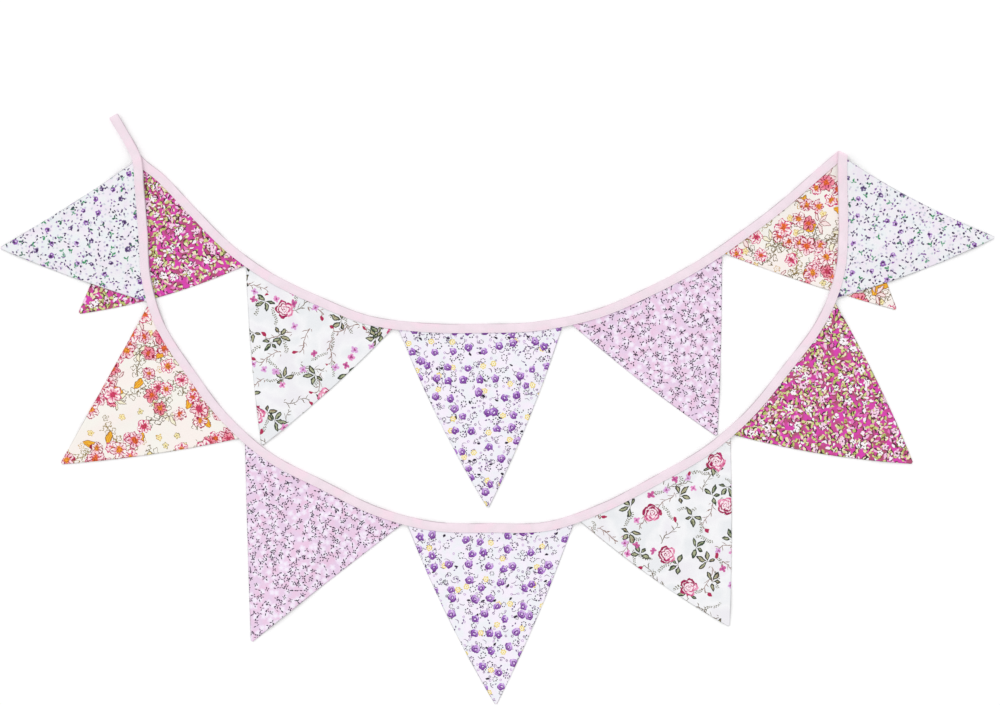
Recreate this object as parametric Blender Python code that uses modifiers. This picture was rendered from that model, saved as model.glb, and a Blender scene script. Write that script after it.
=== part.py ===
"""Cotton bunting laid out flat: twelve double-sided pennants sewn into one folded binding tape.

The tape starts at a free tail at the upper left, runs to the right as the upper strand, is folded
over on itself at the upper right, comes back as the lower strand and ends on top of its own tail.
X is to the right, Y is up the layout and Z is up from the surface that the bunting lies on.
Sizes in the tables are millimetres. A pennant hangs from the tape's open edge.
"""

import math

import bmesh
import bpy
import numpy as np
from mathutils import Matrix, Vector

MM = 0.001
TABLE_MIDDLE = (0.23, -0.31, 0.0)  # middle of the whole outline, as the tables measure it

# Cloth and tape
CLOTH = 1.0  # thickness of a seamed pennant, and of each leg of the tape
CLEAR = 0.3  # gap left between neighbouring pieces
TAPE_WIDTH = 12.0  # a 24 mm bias tape folded in half
TUCK = 9.0  # how far a pennant's raw edge goes into the fold
TUCK_TRIM = 4.0  # corner trimmed off that raw edge, at both ends
FOLD_CHAMFER = 0.35  # softened corners of the tape's folded edge
TAIL_EASE = 10.0  # length over which the tape closes up beyond the end pennants
TAIL_START = 1.0  # how far beyond an end pennant's corner the closing up begins
KNOT_SHARES = (0.16, 0.5, 0.84)  # where over a pennant's base the tape's middle line is given

FULL = 3 * CLOTH + 2 * CLEAR  # height of the tape with a pennant inside
PRESSED = 2 * CLOTH + CLEAR  # height of the empty tape of the tails
HALF_TAPE = TAPE_WIDTH / 2
MID_TAPE = FULL / 2
MID_CLOTH = CLOTH / 2

# How a pennant comes down from the tape to the surface
DESCENT = 16.0
TIP_WIDTH = 3.0
SLENDER_ROWS = (0.035, 0.08)  # the first rows below the tape, as shares of the drop

# The diagonal fold at the upper right
FOLD_POINT = (446.0, 329.5)
FOLD_IN = math.radians(40.0)  # heading of the tape as it reaches the fold
FOLD_OUT = math.radians(-93.0)  # heading as it leaves
CROSSING = (FOLD_IN - FOLD_OUT) / 2  # angle at which the tape crosses the crease
FOLD_STRAIGHT = 22.0  # straight stretch on both sides of the fold
FOLD_CENTRE_Z = FULL + CLEAR  # the fold turns about a line this high

# The upper layer's ramps where it lies over the lower one
RAMP = 40.0
MARGIN = 14.0
FOLD_REACH = 6.0  # how far beyond the diagonal fold the lower strand stays fully lifted
CROSSING_END = (-459.0, 312.0)  # where the lower strand's end leaves the upper strand

# Tails: points of the tape's middle line, from the free end inwards
LOWER_TAIL = ((-499.1, 380.3), (-486.6, 359.5), (-474.1, 338.8), (-466.3, 323.4))
UPPER_TAIL = ((-467.3, 322.0), (-474.6, 338.6), (-486.0, 359.2), (-497.6, 379.6))

# One row for each pennant, in order along the tape. start and end are the corners at the tape,
# tip is the free corner; sag is how far the tape bends towards the tip over the pennant's base;
# bow is how far each sloping side swells outwards; columns and rows are the mesh's.
PENNANTS = (
    # name, print, start, end, tip, sag, start bow, end bow, columns, rows
    ("pennant_01", "magenta", (-460.6, 316.6), (-330.6, 183.3), (-543.0, 124.2), 2.0, 0.0, 8.0, 9, 10),
    ("pennant_02", "rose", (-327.5, 182.3), (-136.9, 99.5), (-305.5, -47.0), 7.0, 3.0, 4.5, 8, 9),
    ("pennant_03", "pansy", (-127.8, 101.0), (84.8, 103.4), (-12.1, -128.1), 4.0, 5.5, 5.0, 8, 9),
    ("pennant_04", "ditsy", (98.0, 106.0), (292.5, 198.0), (285.0, -34.5), 7.0, 3.5, 1.5, 8, 9),
    ("pennant_05", "blossom", (295.5, 201.5), (444.5, 321.0), (517.7, 129.4), 4.0, 3.0, 0.0, 9, 10),
    ("pennant_06", "violet", (456.5, 326.0), (446.0, 142.5), (645.7, 222.3), 4.0, -5.5, 5.0, 14, 14),
    ("pennant_07", "magenta", (443.6, 135.5), (309.5, -36.5), (539.1, -70.6), 4.0, 4.5, 6.0, 8, 9),
    ("pennant_08", "rose", (305.1, -41.0), (108.5, -149.0), (301.0, -282.2), 4.0, 2.0, 5.5, 8, 9),
    ("pennant_09", "pansy", (101.0, -156.0), (-117.4, -156.0), (-1.8, -384.0), 5.0, 4.0, 5.5, 8, 9),
    ("pennant_10", "ditsy", (-124.5, -154.4), (-331.5, -50.0), (-318.9, -302.1), 3.0, -1.0, 0.5, 8, 9),
    ("pennant_11", "blossom", (-337.4, -41.0), (-458.6, 132.5), (-566.3, -71.2), 6.0, 4.0, 0.0, 8, 9),
    ("pennant_12", "violet", (-459.5, 138.0), (-472.9, 319.5), (-645.2, 208.7), 0.0, 3.0, -2.0, 14, 14),
)
COLUMNS = ("name", "print", "start", "end", "tip", "sag", "bow_start", "bow_end", "columns", "rows")
UPPER_COUNT = 5  # the pennants on the upper strand

# Soft ridges where a pennant doesn't lie quite flat, from one place on it to another. Across is
# 0 at the start side and 1 at the end side, down is 0 at the tape and 1 at the tip.
RIDGES = {
    # pennant: (across, down, across, down, height, half width)
    "pennant_02": (0.25, 0.15, 0.60, 0.85, 1.4, 32.0),
    "pennant_03": (0.80, 0.10, 0.55, 0.80, 1.0, 30.0),
    "pennant_04": (0.50, 0.12, 0.85, 0.70, 1.3, 34.0),
    "pennant_06": (0.70, 0.15, 0.60, 0.85, 1.6, 34.0),
    "pennant_07": (0.30, 0.12, 0.65, 0.80, 1.2, 30.0),
    "pennant_08": (0.65, 0.15, 0.30, 0.85, 1.7, 34.0),
    "pennant_10": (0.35, 0.12, 0.20, 0.80, 2.0, 36.0),
    "pennant_11": (0.60, 0.10, 0.75, 0.75, 1.2, 32.0),
    "pennant_12": (0.35, 0.20, 0.45, 0.85, 1.4, 32.0),
}

# Ground colour of each print, and of the tape
COLOURS = {
    "magenta": (0.56, 0.06, 0.36),
    "rose": (0.87, 0.88, 0.90),
    "pansy": (0.80, 0.75, 0.86),
    "ditsy": (0.76, 0.58, 0.76),
    "blossom": (0.90, 0.83, 0.76),
    "violet": (0.78, 0.78, 0.85),
    "tape": (0.86, 0.73, 0.81),
}
COTTON_ROUGHNESS = 0.9


def smooth(share):
    """0 up to 0, 1 from 1 on, and a soft step between."""
    share = min(max(share, 0.0), 1.0)
    return share * share * (3 - 2 * share)


def direction(angle):
    return np.array((math.cos(angle), math.sin(angle)))


class Strand:
    """The tape's middle line through a few points, read by its length."""

    STEPS = 24
    TANGENT_REACH = 2.5
    SEARCH_STEP = 0.5

    def __init__(self, points):
        points = np.array(points, float)
        ends = (2 * points[0] - points[1], 2 * points[-1] - points[-2])
        knots = np.vstack((ends[0], points, ends[1]))
        line = []
        for before, first, last, after in zip(knots, knots[1:], knots[2:], knots[3:]):
            span = np.linalg.norm(last - first)
            leave = (last - before) * span / (span + np.linalg.norm(first - before))
            arrive = (after - first) * span / (span + np.linalg.norm(after - last))
            for share in np.arange(self.STEPS) / self.STEPS:
                square, cube = share**2, share**3
                line.append(
                    (2 * cube - 3 * square + 1) * first
                    + (cube - 2 * square + share) * leave
                    + (3 * square - 2 * cube) * last
                    + (cube - square) * arrive
                )
        self.line = np.array(line + [points[-1]])
        steps = np.linalg.norm(np.diff(self.line, axis=0), axis=1)
        self.stations = np.concatenate(((0.0,), np.cumsum(steps)))
        self.length = self.stations[-1]

    def point(self, station):
        inside = min(max(station, 0.0), self.length)
        found = np.array([np.interp(inside, self.stations, self.line[:, axis]) for axis in (0, 1)])
        if inside == station:
            return found
        return found + (station - inside) * self.heading(inside)

    def heading(self, station):
        reach = self.TANGENT_REACH
        low = min(max(station - reach, 0.0), self.length - 2 * reach)
        step = self.point(low + 2 * reach) - self.point(low)
        return step / np.linalg.norm(step)

    def nearest(self, place):
        fine = np.arange(0.0, self.length, self.SEARCH_STEP)
        spots = np.array([self.point(station) for station in fine])
        return fine[np.linalg.norm(spots - np.array(place), axis=1).argmin()]


def base_knots(pennant):
    """Three points of the tape's middle line over a pennant's base."""
    start, end = np.array(pennant["start"]), np.array(pennant["end"])
    along = (end - start) / np.linalg.norm(end - start)
    towards_tip = np.array((along[1], -along[0]))
    if np.dot(towards_tip, np.array(pennant["tip"]) - start) < 0:
        towards_tip = -towards_tip
    return [
        start + share * (end - start) + towards_tip * (4 * share * (1 - share) * pennant["sag"] - HALF_TAPE)
        for share in KNOT_SHARES
    ]


class Tape:
    """The whole tape. A place on it is its station along, its distance across and its height.

    Across runs from minus HALF_TAPE at the open edge, where the pennants come out, to plus
    HALF_TAPE at the folded edge. The upper strand lies on the surface with the tape's first face
    up. Beyond the diagonal fold the tape is turned over, so that the same height is measured down.
    """

    def __init__(self, pennants):
        self.crease = direction((FOLD_IN + FOLD_OUT) / 2)
        self.beyond = np.array((-self.crease[1], self.crease[0]))
        self.fold_point = np.array(FOLD_POINT)
        self.turn_length = math.pi * (FOLD_CENTRE_Z - MID_TAPE)
        self.slant = -1 / math.tan(CROSSING)
        upper_end = [self.fold_point - FOLD_STRAIGHT * direction(FOLD_IN), self.fold_point]
        folded_over = self.fold_point + self.turn_length * self.beyond
        lower_start = [folded_over, folded_over + FOLD_STRAIGHT * direction(FOLD_OUT)]
        upper_knots = [knot for pennant in pennants[:UPPER_COUNT] for knot in base_knots(pennant)]
        lower_knots = [knot for pennant in pennants[UPPER_COUNT:] for knot in base_knots(pennant)]
        self.upper = Strand([*LOWER_TAIL, *upper_knots[:-1], *upper_end])
        self.lower = Strand([*lower_start, *lower_knots[1:], *UPPER_TAIL])
        self.fold_station = self.upper.length
        self.unfold_station = self.fold_station + self.turn_length / math.sin(CROSSING)
        self.length = self.upper.length + self.lower.length

    def station_of(self, pennant, corner):
        if pennant["upper"]:
            return self.upper.nearest(pennant[corner])
        return self.fold_station + self.lower.nearest(pennant[corner])

    def skew(self, station):
        """Sections near the diagonal fold lie along its crease."""
        away = abs(station - self.fold_station - self.turn_length / 2) - self.turn_length
        return self.slant * (1 - smooth(away / FOLD_STRAIGHT))

    def on_plan(self, station, across):
        """The plan place of a point, and how far past the crease it is on the unfolded tape."""
        station += self.skew(station) * across
        if station <= self.fold_station:
            heading, middle, side = self.upper.heading(station), self.upper.point(station), 1
        else:
            station -= self.fold_station
            heading, middle, side = self.lower.heading(station), self.lower.point(station), -1
        shift = middle + side * across * np.array((-heading[1], heading[0])) - self.fold_point
        along, past = float(np.dot(shift, self.crease)), float(np.dot(shift, self.beyond))
        if side < 0:
            past = self.turn_length - past
        reach = min(past, self.turn_length - past, 0.0)
        return self.fold_point + along * self.crease + reach * self.beyond, past

    def centre(self, station):
        return self.on_plan(station, 0.0)[0]

    def height(self, station):
        """The tape's thickness: full where it holds pennants, pressed flat in the tails."""
        into = min(station - self.first, self.last - station) + TAIL_EASE
        return PRESSED + (FULL - PRESSED) * smooth(into / TAIL_EASE)

    def place(self, station, across, level, lift):
        """Where a point of the tape lies. level is measured up from its first face."""
        plan, past = self.on_plan(station, across)
        if past <= 0:
            return np.array((*plan, level))
        if past >= self.turn_length:
            return np.array((*plan, lift + self.height(station) - level))
        radius, angle = FOLD_CENTRE_Z - level, math.pi * past / self.turn_length
        turned = plan + radius * math.sin(angle) * self.beyond
        return np.array((*turned, FOLD_CENTRE_Z - radius * math.cos(angle)))


def distance_to_line(place, first, last):
    first, last = np.array(first), np.array(last)
    share = np.dot(place - first, last - first) / max(np.dot(last - first, last - first), 1e-9)
    return float(np.linalg.norm(place - first - min(max(share, 0.0), 1.0) * (last - first)))


def depth_inside(place, pennant):
    """How far inside the pennant's triangle, with its swelling sides, a plan place is."""
    corners = [np.array(pennant[key]) for key in ("start", "end", "tip")]
    middle = sum(corners) / 3
    swell = (HALF_TAPE, max(pennant["bow_end"], 0.0), max(pennant["bow_start"], 0.0))
    depths = []
    for first, last, bow in zip(corners, corners[1:] + corners[:1], swell):
        along = (last - first) / np.linalg.norm(last - first)
        inwards = np.array((-along[1], along[0]))
        if np.dot(inwards, middle - first) < 0:
            inwards = -inwards
        depths.append(float(np.dot(place - first, inwards)) + bow)
    return min(depths)


class Lift:
    """How high the lower strand and its pennants are carried by what lies under them."""

    POWER = 4

    def __init__(self, pennants, tape):
        self.under = [pennants[0], pennants[UPPER_COUNT - 1]]
        folded = FULL + 2 * CLEAR
        crossing = FULL + CLEAR
        tail = PRESSED + CLEAR
        self.marks = self.heights = None
        self.bars = (
            # height, one end, other end
            (folded, tape.fold_point, tape.fold_point + FOLD_REACH * direction(FOLD_OUT)),
            (crossing, LOWER_TAIL[-1], CROSSING_END),
            (tail, LOWER_TAIL[0], LOWER_TAIL[-1]),
        )

    def __call__(self, place):
        cloth = CLOTH + CLEAR
        parts = [cloth * smooth((depth_inside(place, pennant) + MARGIN + RAMP) / RAMP) for pennant in self.under]
        for height, first, last in self.bars:
            beyond = distance_to_line(place, first, last) - MARGIN
            parts.append(height * smooth(1 - beyond / RAMP))
        return float(sum(part**self.POWER for part in parts) ** (1 / self.POWER))

    def follow(self, tape, marks):
        """Reads the heights along the tape's middle line, straight from one section to the next."""
        self.marks = marks
        self.heights = [self(tape.centre(mark)) for mark in marks]

    def along(self, station):
        return float(np.interp(station, self.marks, self.heights))


def spaced(count):
    """Shares from 0 to 1, closer together at both ends."""
    even = np.arange(count + 1) / count
    crowded = (1 - np.cos(np.pi * even)) / 2
    return (even + crowded) / 2


def new_object(name, mesh, colour, collection, parent):
    material = bpy.data.materials.get(colour) or bpy.data.materials.new(colour)
    material.use_nodes = True
    shader = material.node_tree.nodes["Principled BSDF"]
    shader.inputs["Base Color"].default_value = (*COLOURS[colour], 1.0)
    shader.inputs["Roughness"].default_value = COTTON_ROUGHNESS
    shader.inputs["Metallic"].default_value = 0.0
    mesh.materials.append(material)
    mesh.shade_smooth()
    mesh.transform(Matrix.Translation(Vector(TABLE_MIDDLE) * -MM))
    piece = bpy.data.objects.new(name, mesh)
    collection.objects.link(piece)
    piece.parent = parent
    return piece


def grid_mesh(name, columns, rows, place):
    """A grid of columns by rows cells whose points are read from place(column, row), in mm."""
    sheet = bmesh.new()
    bmesh.ops.create_grid(sheet, x_segments=columns, y_segments=rows, size=1.0)
    for vertex in sheet.verts:
        column = round((vertex.co.x + 1) / 2 * columns)
        row = round((vertex.co.y + 1) / 2 * rows)
        vertex.co = Vector(place(column, row)) * MM
    mesh = bpy.data.meshes.new(name)
    sheet.to_mesh(mesh)
    sheet.free()
    return mesh


def thicken(piece):
    shell = piece.modifiers.new("cloth", "SOLIDIFY")
    shell.thickness = CLOTH * MM
    shell.offset = 0.0
    shell.use_even_offset = True
    shell.use_quality_normals = True
    return shell


def ridge_height(pennant, place, sides):
    """The soft ridge's height at a plan place. sides(across, down) gives its two ends."""
    if pennant["name"] not in RIDGES:
        return 0.0
    across_1, down_1, across_2, down_2, height, half_width = RIDGES[pennant["name"]]
    away = distance_to_line(place, sides(across_1, down_1), sides(across_2, down_2)) / half_width
    return height * (1 - min(away, 1.0) ** 2) ** 2


def make_pennant(pennant, tape, lift, collection, parent):
    """Two cloth triangles sewn and turned, tucked into the tape and lying on the surface."""
    stations = pennant["stations"]
    corner_start, corner_end = (tape.on_plan(stations[i], -HALF_TAPE)[0] for i in (0, -1))
    tip = np.array(pennant["tip"])
    base = corner_end - corner_start
    along = base / np.linalg.norm(base)
    drop = abs(along[0] * (tip - corner_start)[1] - along[1] * (tip - corner_start)[0])
    inner = (tip - along * TIP_WIDTH / 2, tip + along * TIP_WIDTH / 2)

    def side(corner, end, bow, down):
        run = (end - corner) / np.linalg.norm(end - corner)
        outwards = np.array((-run[1], run[0]))
        if np.dot(outwards, (corner_start + corner_end + tip) / 3 - corner) > 0:
            outwards = -outwards
        return corner + down * (end - corner) + outwards * 4 * bow * down * (1 - down)

    def between(across, down):
        first = side(corner_start, inner[0], pennant["bow_start"], down)
        last = side(corner_end, inner[1], pennant["bow_end"], down)
        return first + across * (last - first)

    even_rows = pennant["rows"] - len(SLENDER_ROWS)
    steps = np.arange(1, even_rows + 1) / even_rows
    downs = [0.0, *SLENDER_ROWS, *(SLENDER_ROWS[-1] + steps * (1 - SLENDER_ROWS[-1]))]

    def point(column, row):
        station = stations[column]
        if row == 0:
            station = min(max(station, stations[0] + TUCK_TRIM), stations[-1] - TUCK_TRIM)
        carried = 0.0 if pennant["upper"] else lift.along(station)
        if row == 0:
            return (*tape.on_plan(station, TUCK - HALF_TAPE)[0], carried + MID_TAPE)
        down = downs[row - 1]
        across = pennant["shares"][column]
        on_tape = tape.on_plan(station, -HALF_TAPE)[0]
        curve = on_tape - (corner_start + across * base)
        plan = between(across, down) + curve * (1 - down) ** 3
        fallen = smooth(down * drop / DESCENT)
        if not pennant["upper"]:
            carried += (lift(plan) - carried) * smooth(down * drop / RAMP)
        level = MID_TAPE + (MID_CLOTH - MID_TAPE) * fallen
        return (*plan, carried + level + fallen * ridge_height(pennant, plan, between))

    mesh = grid_mesh(pennant["name"], pennant["columns"], len(downs), point)
    piece = new_object(pennant["name"], mesh, pennant["print"], collection, parent)
    if pennant["upper"]:
        mesh.flip_normals()
    thicken(piece)
    return piece


def tape_stations(tape, pennants):
    """Every section of the tape: at each pennant's columns, and every few mm in between."""
    gap_step, tail_step, turn_step, turn_margin = 5.0, 11.0, 1.2, 0.8
    turn = (tape.fold_station - turn_margin, tape.unfold_station + turn_margin)
    marks = [0.0]

    def fill(last, step):
        first = marks[-1]
        count = max(1, math.ceil((last - first) / step))
        marks.extend(first + (last - first) * (n + 1) / count for n in range(count))

    for pennant in pennants:
        first = pennant["stations"][0]
        if marks[-1] < turn[0] < first:
            fill(turn[0], gap_step)
            fill(turn[1], turn_step)
        fill(first, tail_step if pennant is pennants[0] else gap_step)
        marks.extend(pennant["stations"][1:])
    fill(tape.length, tail_step)
    return marks


def make_tape(tape, lift, collection, parent):
    """One folded bias tape. It is shaped straight and flat, then laid along its line."""
    marks = lift.marks
    outer = HALF_TAPE - MID_CLOTH
    inset = outer - FOLD_CHAMFER

    def profile(height):
        low, high = MID_CLOTH, height - MID_CLOTH
        return (
            (-HALF_TAPE, low),
            (inset, low),
            (outer, low + FOLD_CHAMFER),
            (outer, high - FOLD_CHAMFER),
            (inset, high),
            (-HALF_TAPE, high),
        )

    sections = len(profile(FULL)) - 1
    flat = grid_mesh(
        "flat_tape",
        len(marks) - 1,
        sections,
        lambda column, row: (marks[column], *profile(tape.height(marks[column]))[row]),
    )
    straight = bpy.data.objects.new("flat_tape", flat)
    bpy.context.scene.collection.objects.link(straight)
    thicken(straight)
    graph = bpy.context.evaluated_depsgraph_get()
    mesh = bpy.data.meshes.new_from_object(straight.evaluated_get(graph))
    bpy.data.objects.remove(straight)
    for vertex in mesh.vertices:
        station, across, level = vertex.co / MM
        vertex.co = Vector(tape.place(station, across, level, lift.along(station))) * MM
    mesh.name = "tape"
    return new_object("tape", mesh, "tape", collection, parent)


def main():
    for found in list(bpy.data.objects):
        bpy.data.objects.remove(found)
    collection = bpy.data.collections.new("fabric_bunting")
    bpy.context.scene.collection.children.link(collection)
    base = bpy.data.objects.new("bunting", None)
    collection.objects.link(base)

    pennants = [dict(zip(COLUMNS, row)) for row in PENNANTS]
    for number, pennant in enumerate(pennants):
        pennant["upper"] = number < UPPER_COUNT
    tape = Tape(pennants)
    for pennant in pennants:
        first, last = (tape.station_of(pennant, corner) for corner in ("start", "end"))
        pennant["shares"] = spaced(pennant["columns"])
        pennant["stations"] = first + pennant["shares"] * (last - first)
    tape.first = pennants[0]["stations"][0] - TAIL_START
    tape.last = pennants[-1]["stations"][-1] + TAIL_START
    lift = Lift(pennants, tape)
    lift.follow(tape, tape_stations(tape, pennants))
    for pennant in pennants:
        make_pennant(pennant, tape, lift, collection, base)
    make_tape(tape, lift, collection, base)


main()
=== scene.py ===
# %% [markdown]
# # A fabric bunting, laid out face up
#
# The object is a string of twelve double-sided cotton pennants. Their raw top edges are sewn into
# one folded binding tape, which is laid out in a ring and ends in two free tails.
# This script dresses the packed model: each plain cloth solid is replaced by a finer sheet with
# pressed seams, small puckers and stitches, and gets a printed cotton made of shader nodes.
# The first cell fetches the packed model.

import math

import bpy
import numpy as np
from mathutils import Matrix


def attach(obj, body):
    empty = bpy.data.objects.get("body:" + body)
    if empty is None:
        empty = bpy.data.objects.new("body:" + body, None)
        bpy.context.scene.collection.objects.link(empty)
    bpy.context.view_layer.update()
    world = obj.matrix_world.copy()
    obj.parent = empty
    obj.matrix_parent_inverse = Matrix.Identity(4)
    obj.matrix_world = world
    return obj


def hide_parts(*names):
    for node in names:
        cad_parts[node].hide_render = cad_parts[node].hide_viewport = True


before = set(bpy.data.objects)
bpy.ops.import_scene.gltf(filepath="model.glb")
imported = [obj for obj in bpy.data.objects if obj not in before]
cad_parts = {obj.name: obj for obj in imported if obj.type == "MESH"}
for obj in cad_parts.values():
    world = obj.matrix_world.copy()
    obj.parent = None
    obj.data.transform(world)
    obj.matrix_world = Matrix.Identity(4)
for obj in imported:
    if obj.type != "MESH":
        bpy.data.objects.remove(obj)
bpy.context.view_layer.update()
MM = 0.001
print("nodes:", sorted(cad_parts))

# %% [markdown]
# ## The view
#
# The bunting lies flat, and the photograph was taken from straight above. A camera that isn't
# turned looks down already, with Y up in the picture. The lens follows from the height and the
# width that the picture covers: sensor width over lens is picture width over distance. A long
# lens keeps the edges of the layout free of perspective, as in a product photograph.

# %% Camera
VIEW_CENTRE = (0.0033, 0.0731)
VIEW_WIDTH = 1.3
CAMERA_HEIGHT = 3.4

photographer = bpy.data.objects.new("photographer_view", bpy.data.cameras.new("photographer_view"))
photographer.location = (*VIEW_CENTRE, CAMERA_HEIGHT)
photographer.data.lens = photographer.data.sensor_width * CAMERA_HEIGHT / VIEW_WIDTH
bpy.context.scene.collection.objects.link(photographer)
bpy.context.scene.camera = photographer
print("lens:", round(photographer.data.lens, 1), "mm")

# %% [markdown]
# ## Studio light and floor
#
# Small goods like this are shot on white paper in very even light. A bright white world does most
# of it. A sun lamp with a very wide disc stands in for a large soft box at the upper left: it
# gives the folds and seams their faint shade, and unlike a near lamp it is as bright everywhere.
# The Standard view keeps the printed colours as they are set. The paper reaches far out, so that
# its end doesn't show from a low angle, and it lies a hair under the cloth.

# %% Light and floor
FLOOR_SIZE = 40.0
FLOOR_DROP = 0.0001
PAPER_WHITE = 0.96
PAPER_ROUGHNESS = 0.9
SKY_STRENGTH = 0.86
SUN_STRENGTH = 1.0
SUN_DISC = math.radians(50)
SUN_TILT = (math.radians(-38), math.radians(-30), 0.0)

scene = bpy.context.scene
scene.view_settings.view_transform = "Standard"
world = bpy.data.worlds.new("studio")
world.use_nodes = True
world.node_tree.nodes["Background"].inputs["Color"].default_value = (1.0, 1.0, 1.0, 1.0)
world.node_tree.nodes["Background"].inputs["Strength"].default_value = SKY_STRENGTH
scene.world = world

lamp = bpy.data.objects.new("soft_sun", bpy.data.lights.new("soft_sun", "SUN"))
lamp.data.energy = SUN_STRENGTH
lamp.data.angle = SUN_DISC
lamp.rotation_euler = SUN_TILT
scene.collection.objects.link(lamp)

paper_white = bpy.data.materials.new("paper_white")
paper_white.use_nodes = True
finish = paper_white.node_tree.nodes["Principled BSDF"].inputs
finish["Base Color"].default_value = (PAPER_WHITE, PAPER_WHITE, PAPER_WHITE, 1.0)
finish["Roughness"].default_value = PAPER_ROUGHNESS
half = FLOOR_SIZE / 2
corners = [(-half, -half, 0), (half, -half, 0), (half, half, 0), (-half, half, 0)]
paper = bpy.data.meshes.new("floor")
paper.from_pydata(corners, [], [(0, 1, 2, 3)])
paper.materials.append(paper_white)
floor = bpy.data.objects.new("floor", paper)
floor.location.z = -FLOOR_DROP
scene.collection.objects.link(floor)
print("sun tilted by", [round(math.degrees(a)) for a in SUN_TILT], "degrees")

# %% [markdown]
# ## Writing shader maths as Python
#
# A printed cotton is a lot of sums on the cloth's own coordinates. Wired by hand these would be
# hundreds of Math nodes, so one small class wraps a node's output and overloads the operators:
# `1 - mask` adds a Math node by itself. Vectors go through Vector Math and colours through Mix,
# because a Math node would turn them grey. Every other node comes from one method.


# %% The wire class
class Wire:
    """The output of a shader node, written into a sum like a number."""

    def __init__(self, socket):
        self.socket = socket

    def feed(self, sockets):
        """Sets or links inputs of this output's own node."""
        for key, value in sockets.items():
            target = self.socket.node.inputs[key]
            if isinstance(value, Wire):
                self.socket.id_data.links.new(value.socket, target)
            else:
                target.default_value = value
        return self

    def node(self, kind, settings=None, sockets=None, out=0):
        """Any other node: its type, its settings, then the values or links of its sockets."""
        made = self.socket.id_data.nodes.new(kind)
        for name, value in (settings or {}).items():
            if name == "stops":
                while len(made.color_ramp.elements) < len(value):
                    made.color_ramp.elements.new(0.5)
                for element, (position, colour) in zip(made.color_ramp.elements, value):
                    element.position, element.color = position, colour
            elif name == "steps":
                made.color_ramp.interpolation = value
            else:
                setattr(made, name, value)
        return Wire(made.outputs[out]).feed(sockets or {})

    def other(self, name):
        """Another output of the same node."""
        return Wire(self.socket.node.outputs[name])

    def sum(self, operation, other=0.0, reflected=False):
        """One sum: a Math node where all values are numbers, and Vector Math otherwise."""
        values = [other, self] if reflected else [self, other]
        numbers = all(
            v.socket.type == "VALUE" if isinstance(v, Wire) else not isinstance(v, tuple)
            for v in values
        )
        if not numbers:
            values = [(v, v, v) if isinstance(v, (int, float)) else v for v in values]
        kind = "ShaderNodeMath" if numbers else "ShaderNodeVectorMath"
        return self.node(kind, {"operation": operation}, dict(enumerate(values)))

    def __add__(self, other):
        return self.sum("ADD", other)

    def __sub__(self, other):
        return self.sum("SUBTRACT", other)

    def __mul__(self, other):
        return self.sum("MULTIPLY", other)

    def __truediv__(self, other):
        return self.sum("DIVIDE", other)

    def __radd__(self, other):
        return self.sum("ADD", other, True)

    def __rsub__(self, other):
        return self.sum("SUBTRACT", other, True)

    def __rmul__(self, other):
        return self.sum("MULTIPLY", other, True)

    def __rtruediv__(self, other):
        return self.sum("DIVIDE", other, True)

    def __abs__(self):
        return self.sum("ABSOLUTE")

    def below(self, edge, soft):
        """1 where this is less than edge and 0 where it is more, with a soft step."""
        step = {"From Min": edge - soft / 2, "From Max": edge + soft / 2}
        sockets = {"Value": self, **step, "To Min": 1.0, "To Max": 0.0}
        return self.node("ShaderNodeMapRange", {"interpolation_type": "SMOOTHSTEP"}, sockets)

    def mix(self, colour, mask):
        """This colour, with another one over it where mask is 1."""
        # In a Mix node's list the factor is socket 0, and the colours are 6 and 7
        sockets = {0: mask, 6: self, 7: colour}
        return self.node("ShaderNodeMix", {"data_type": "RGBA"}, sockets, out=2)

    def parts(self):
        """The X, Y and Z of a vector."""
        split = self.node("ShaderNodeSeparateXYZ", None, {0: self})
        return split, split.other("Y"), split.other("Z")

    def turned(self, angle):
        """The plane turned round its origin, by an angle in radians."""
        sockets = {"Vector": self, "Angle": angle}
        return self.node("ShaderNodeVectorRotate", {"rotation_type": "Z_AXIS"}, sockets)

    def noise(self, scale, detail=2.0):
        sockets = {"Vector": self, "Scale": scale, "Detail": detail}
        return self.node("ShaderNodeTexNoise", {"noise_dimensions": "2D"}, sockets)


print("a wire knows", sum(callable(part) for part in vars(Wire).values()), "operations")


# %% Ink colours
def ink(red, green, blue):
    """A colour as a screen shows it, from 0 to 255, in the values that a shader works with."""
    channels = [c / 255 for c in (red, green, blue)]
    return (*(c / 12.92 if c <= 0.04045 else ((c + 0.055) / 1.055) ** 2.4 for c in channels), 1.0)


print("a mid grey is", [round(c, 3) for c in ink(128, 128, 128)])

# %% [markdown]
# ## Small motifs
#
# A flower print is one motif repeated with small changes. A Voronoi texture gives each motif a
# cell: its Position output is the cell's middle, and its Color holds three random numbers.
# The place minus the middle is then a small coordinate system of the motif's own, in metres.
# Lengths are in metres on the cloth, so a pitch of 0.0215 sets the cells 21.5 mm apart. Each kind
# of motif has a seed, which moves its cells, so that no two kinds share them.
# A hand-drawn line is never exact, so most prints first push the cloth's coordinates about a
# little with a noise. The colour of a motif is drawn by lot, from its cell's random numbers.

# %% Cells scattered over the cloth
FULL_TURN = 2 * math.pi
SEED_SHIFT = (0.137, 0.211)
HARD = 0.001


def by_hand(cloth, amount, scale):
    """The cloth's coordinates, pushed about a little so that what is drawn isn't exact."""
    pushed = cloth.noise(scale).other("Color") - (0.5, 0.5, 0.5)
    return cloth + pushed * (2 * amount)


def scatter(cloth, pitch, loose, seed):
    """Cells about pitch apart: the place in a cell, its middle and three random numbers."""
    moved = cloth + (SEED_SHIFT[0] * seed, SEED_SHIFT[1] * seed, 0.0)
    cells = {"Vector": moved, "Scale": 1 / pitch, "Randomness": loose}
    middle = moved.node("ShaderNodeTexVoronoi", {"voronoi_dimensions": "2D"}, cells, out="Position")
    return moved - middle, middle, *middle.other("Color").parts()


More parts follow.
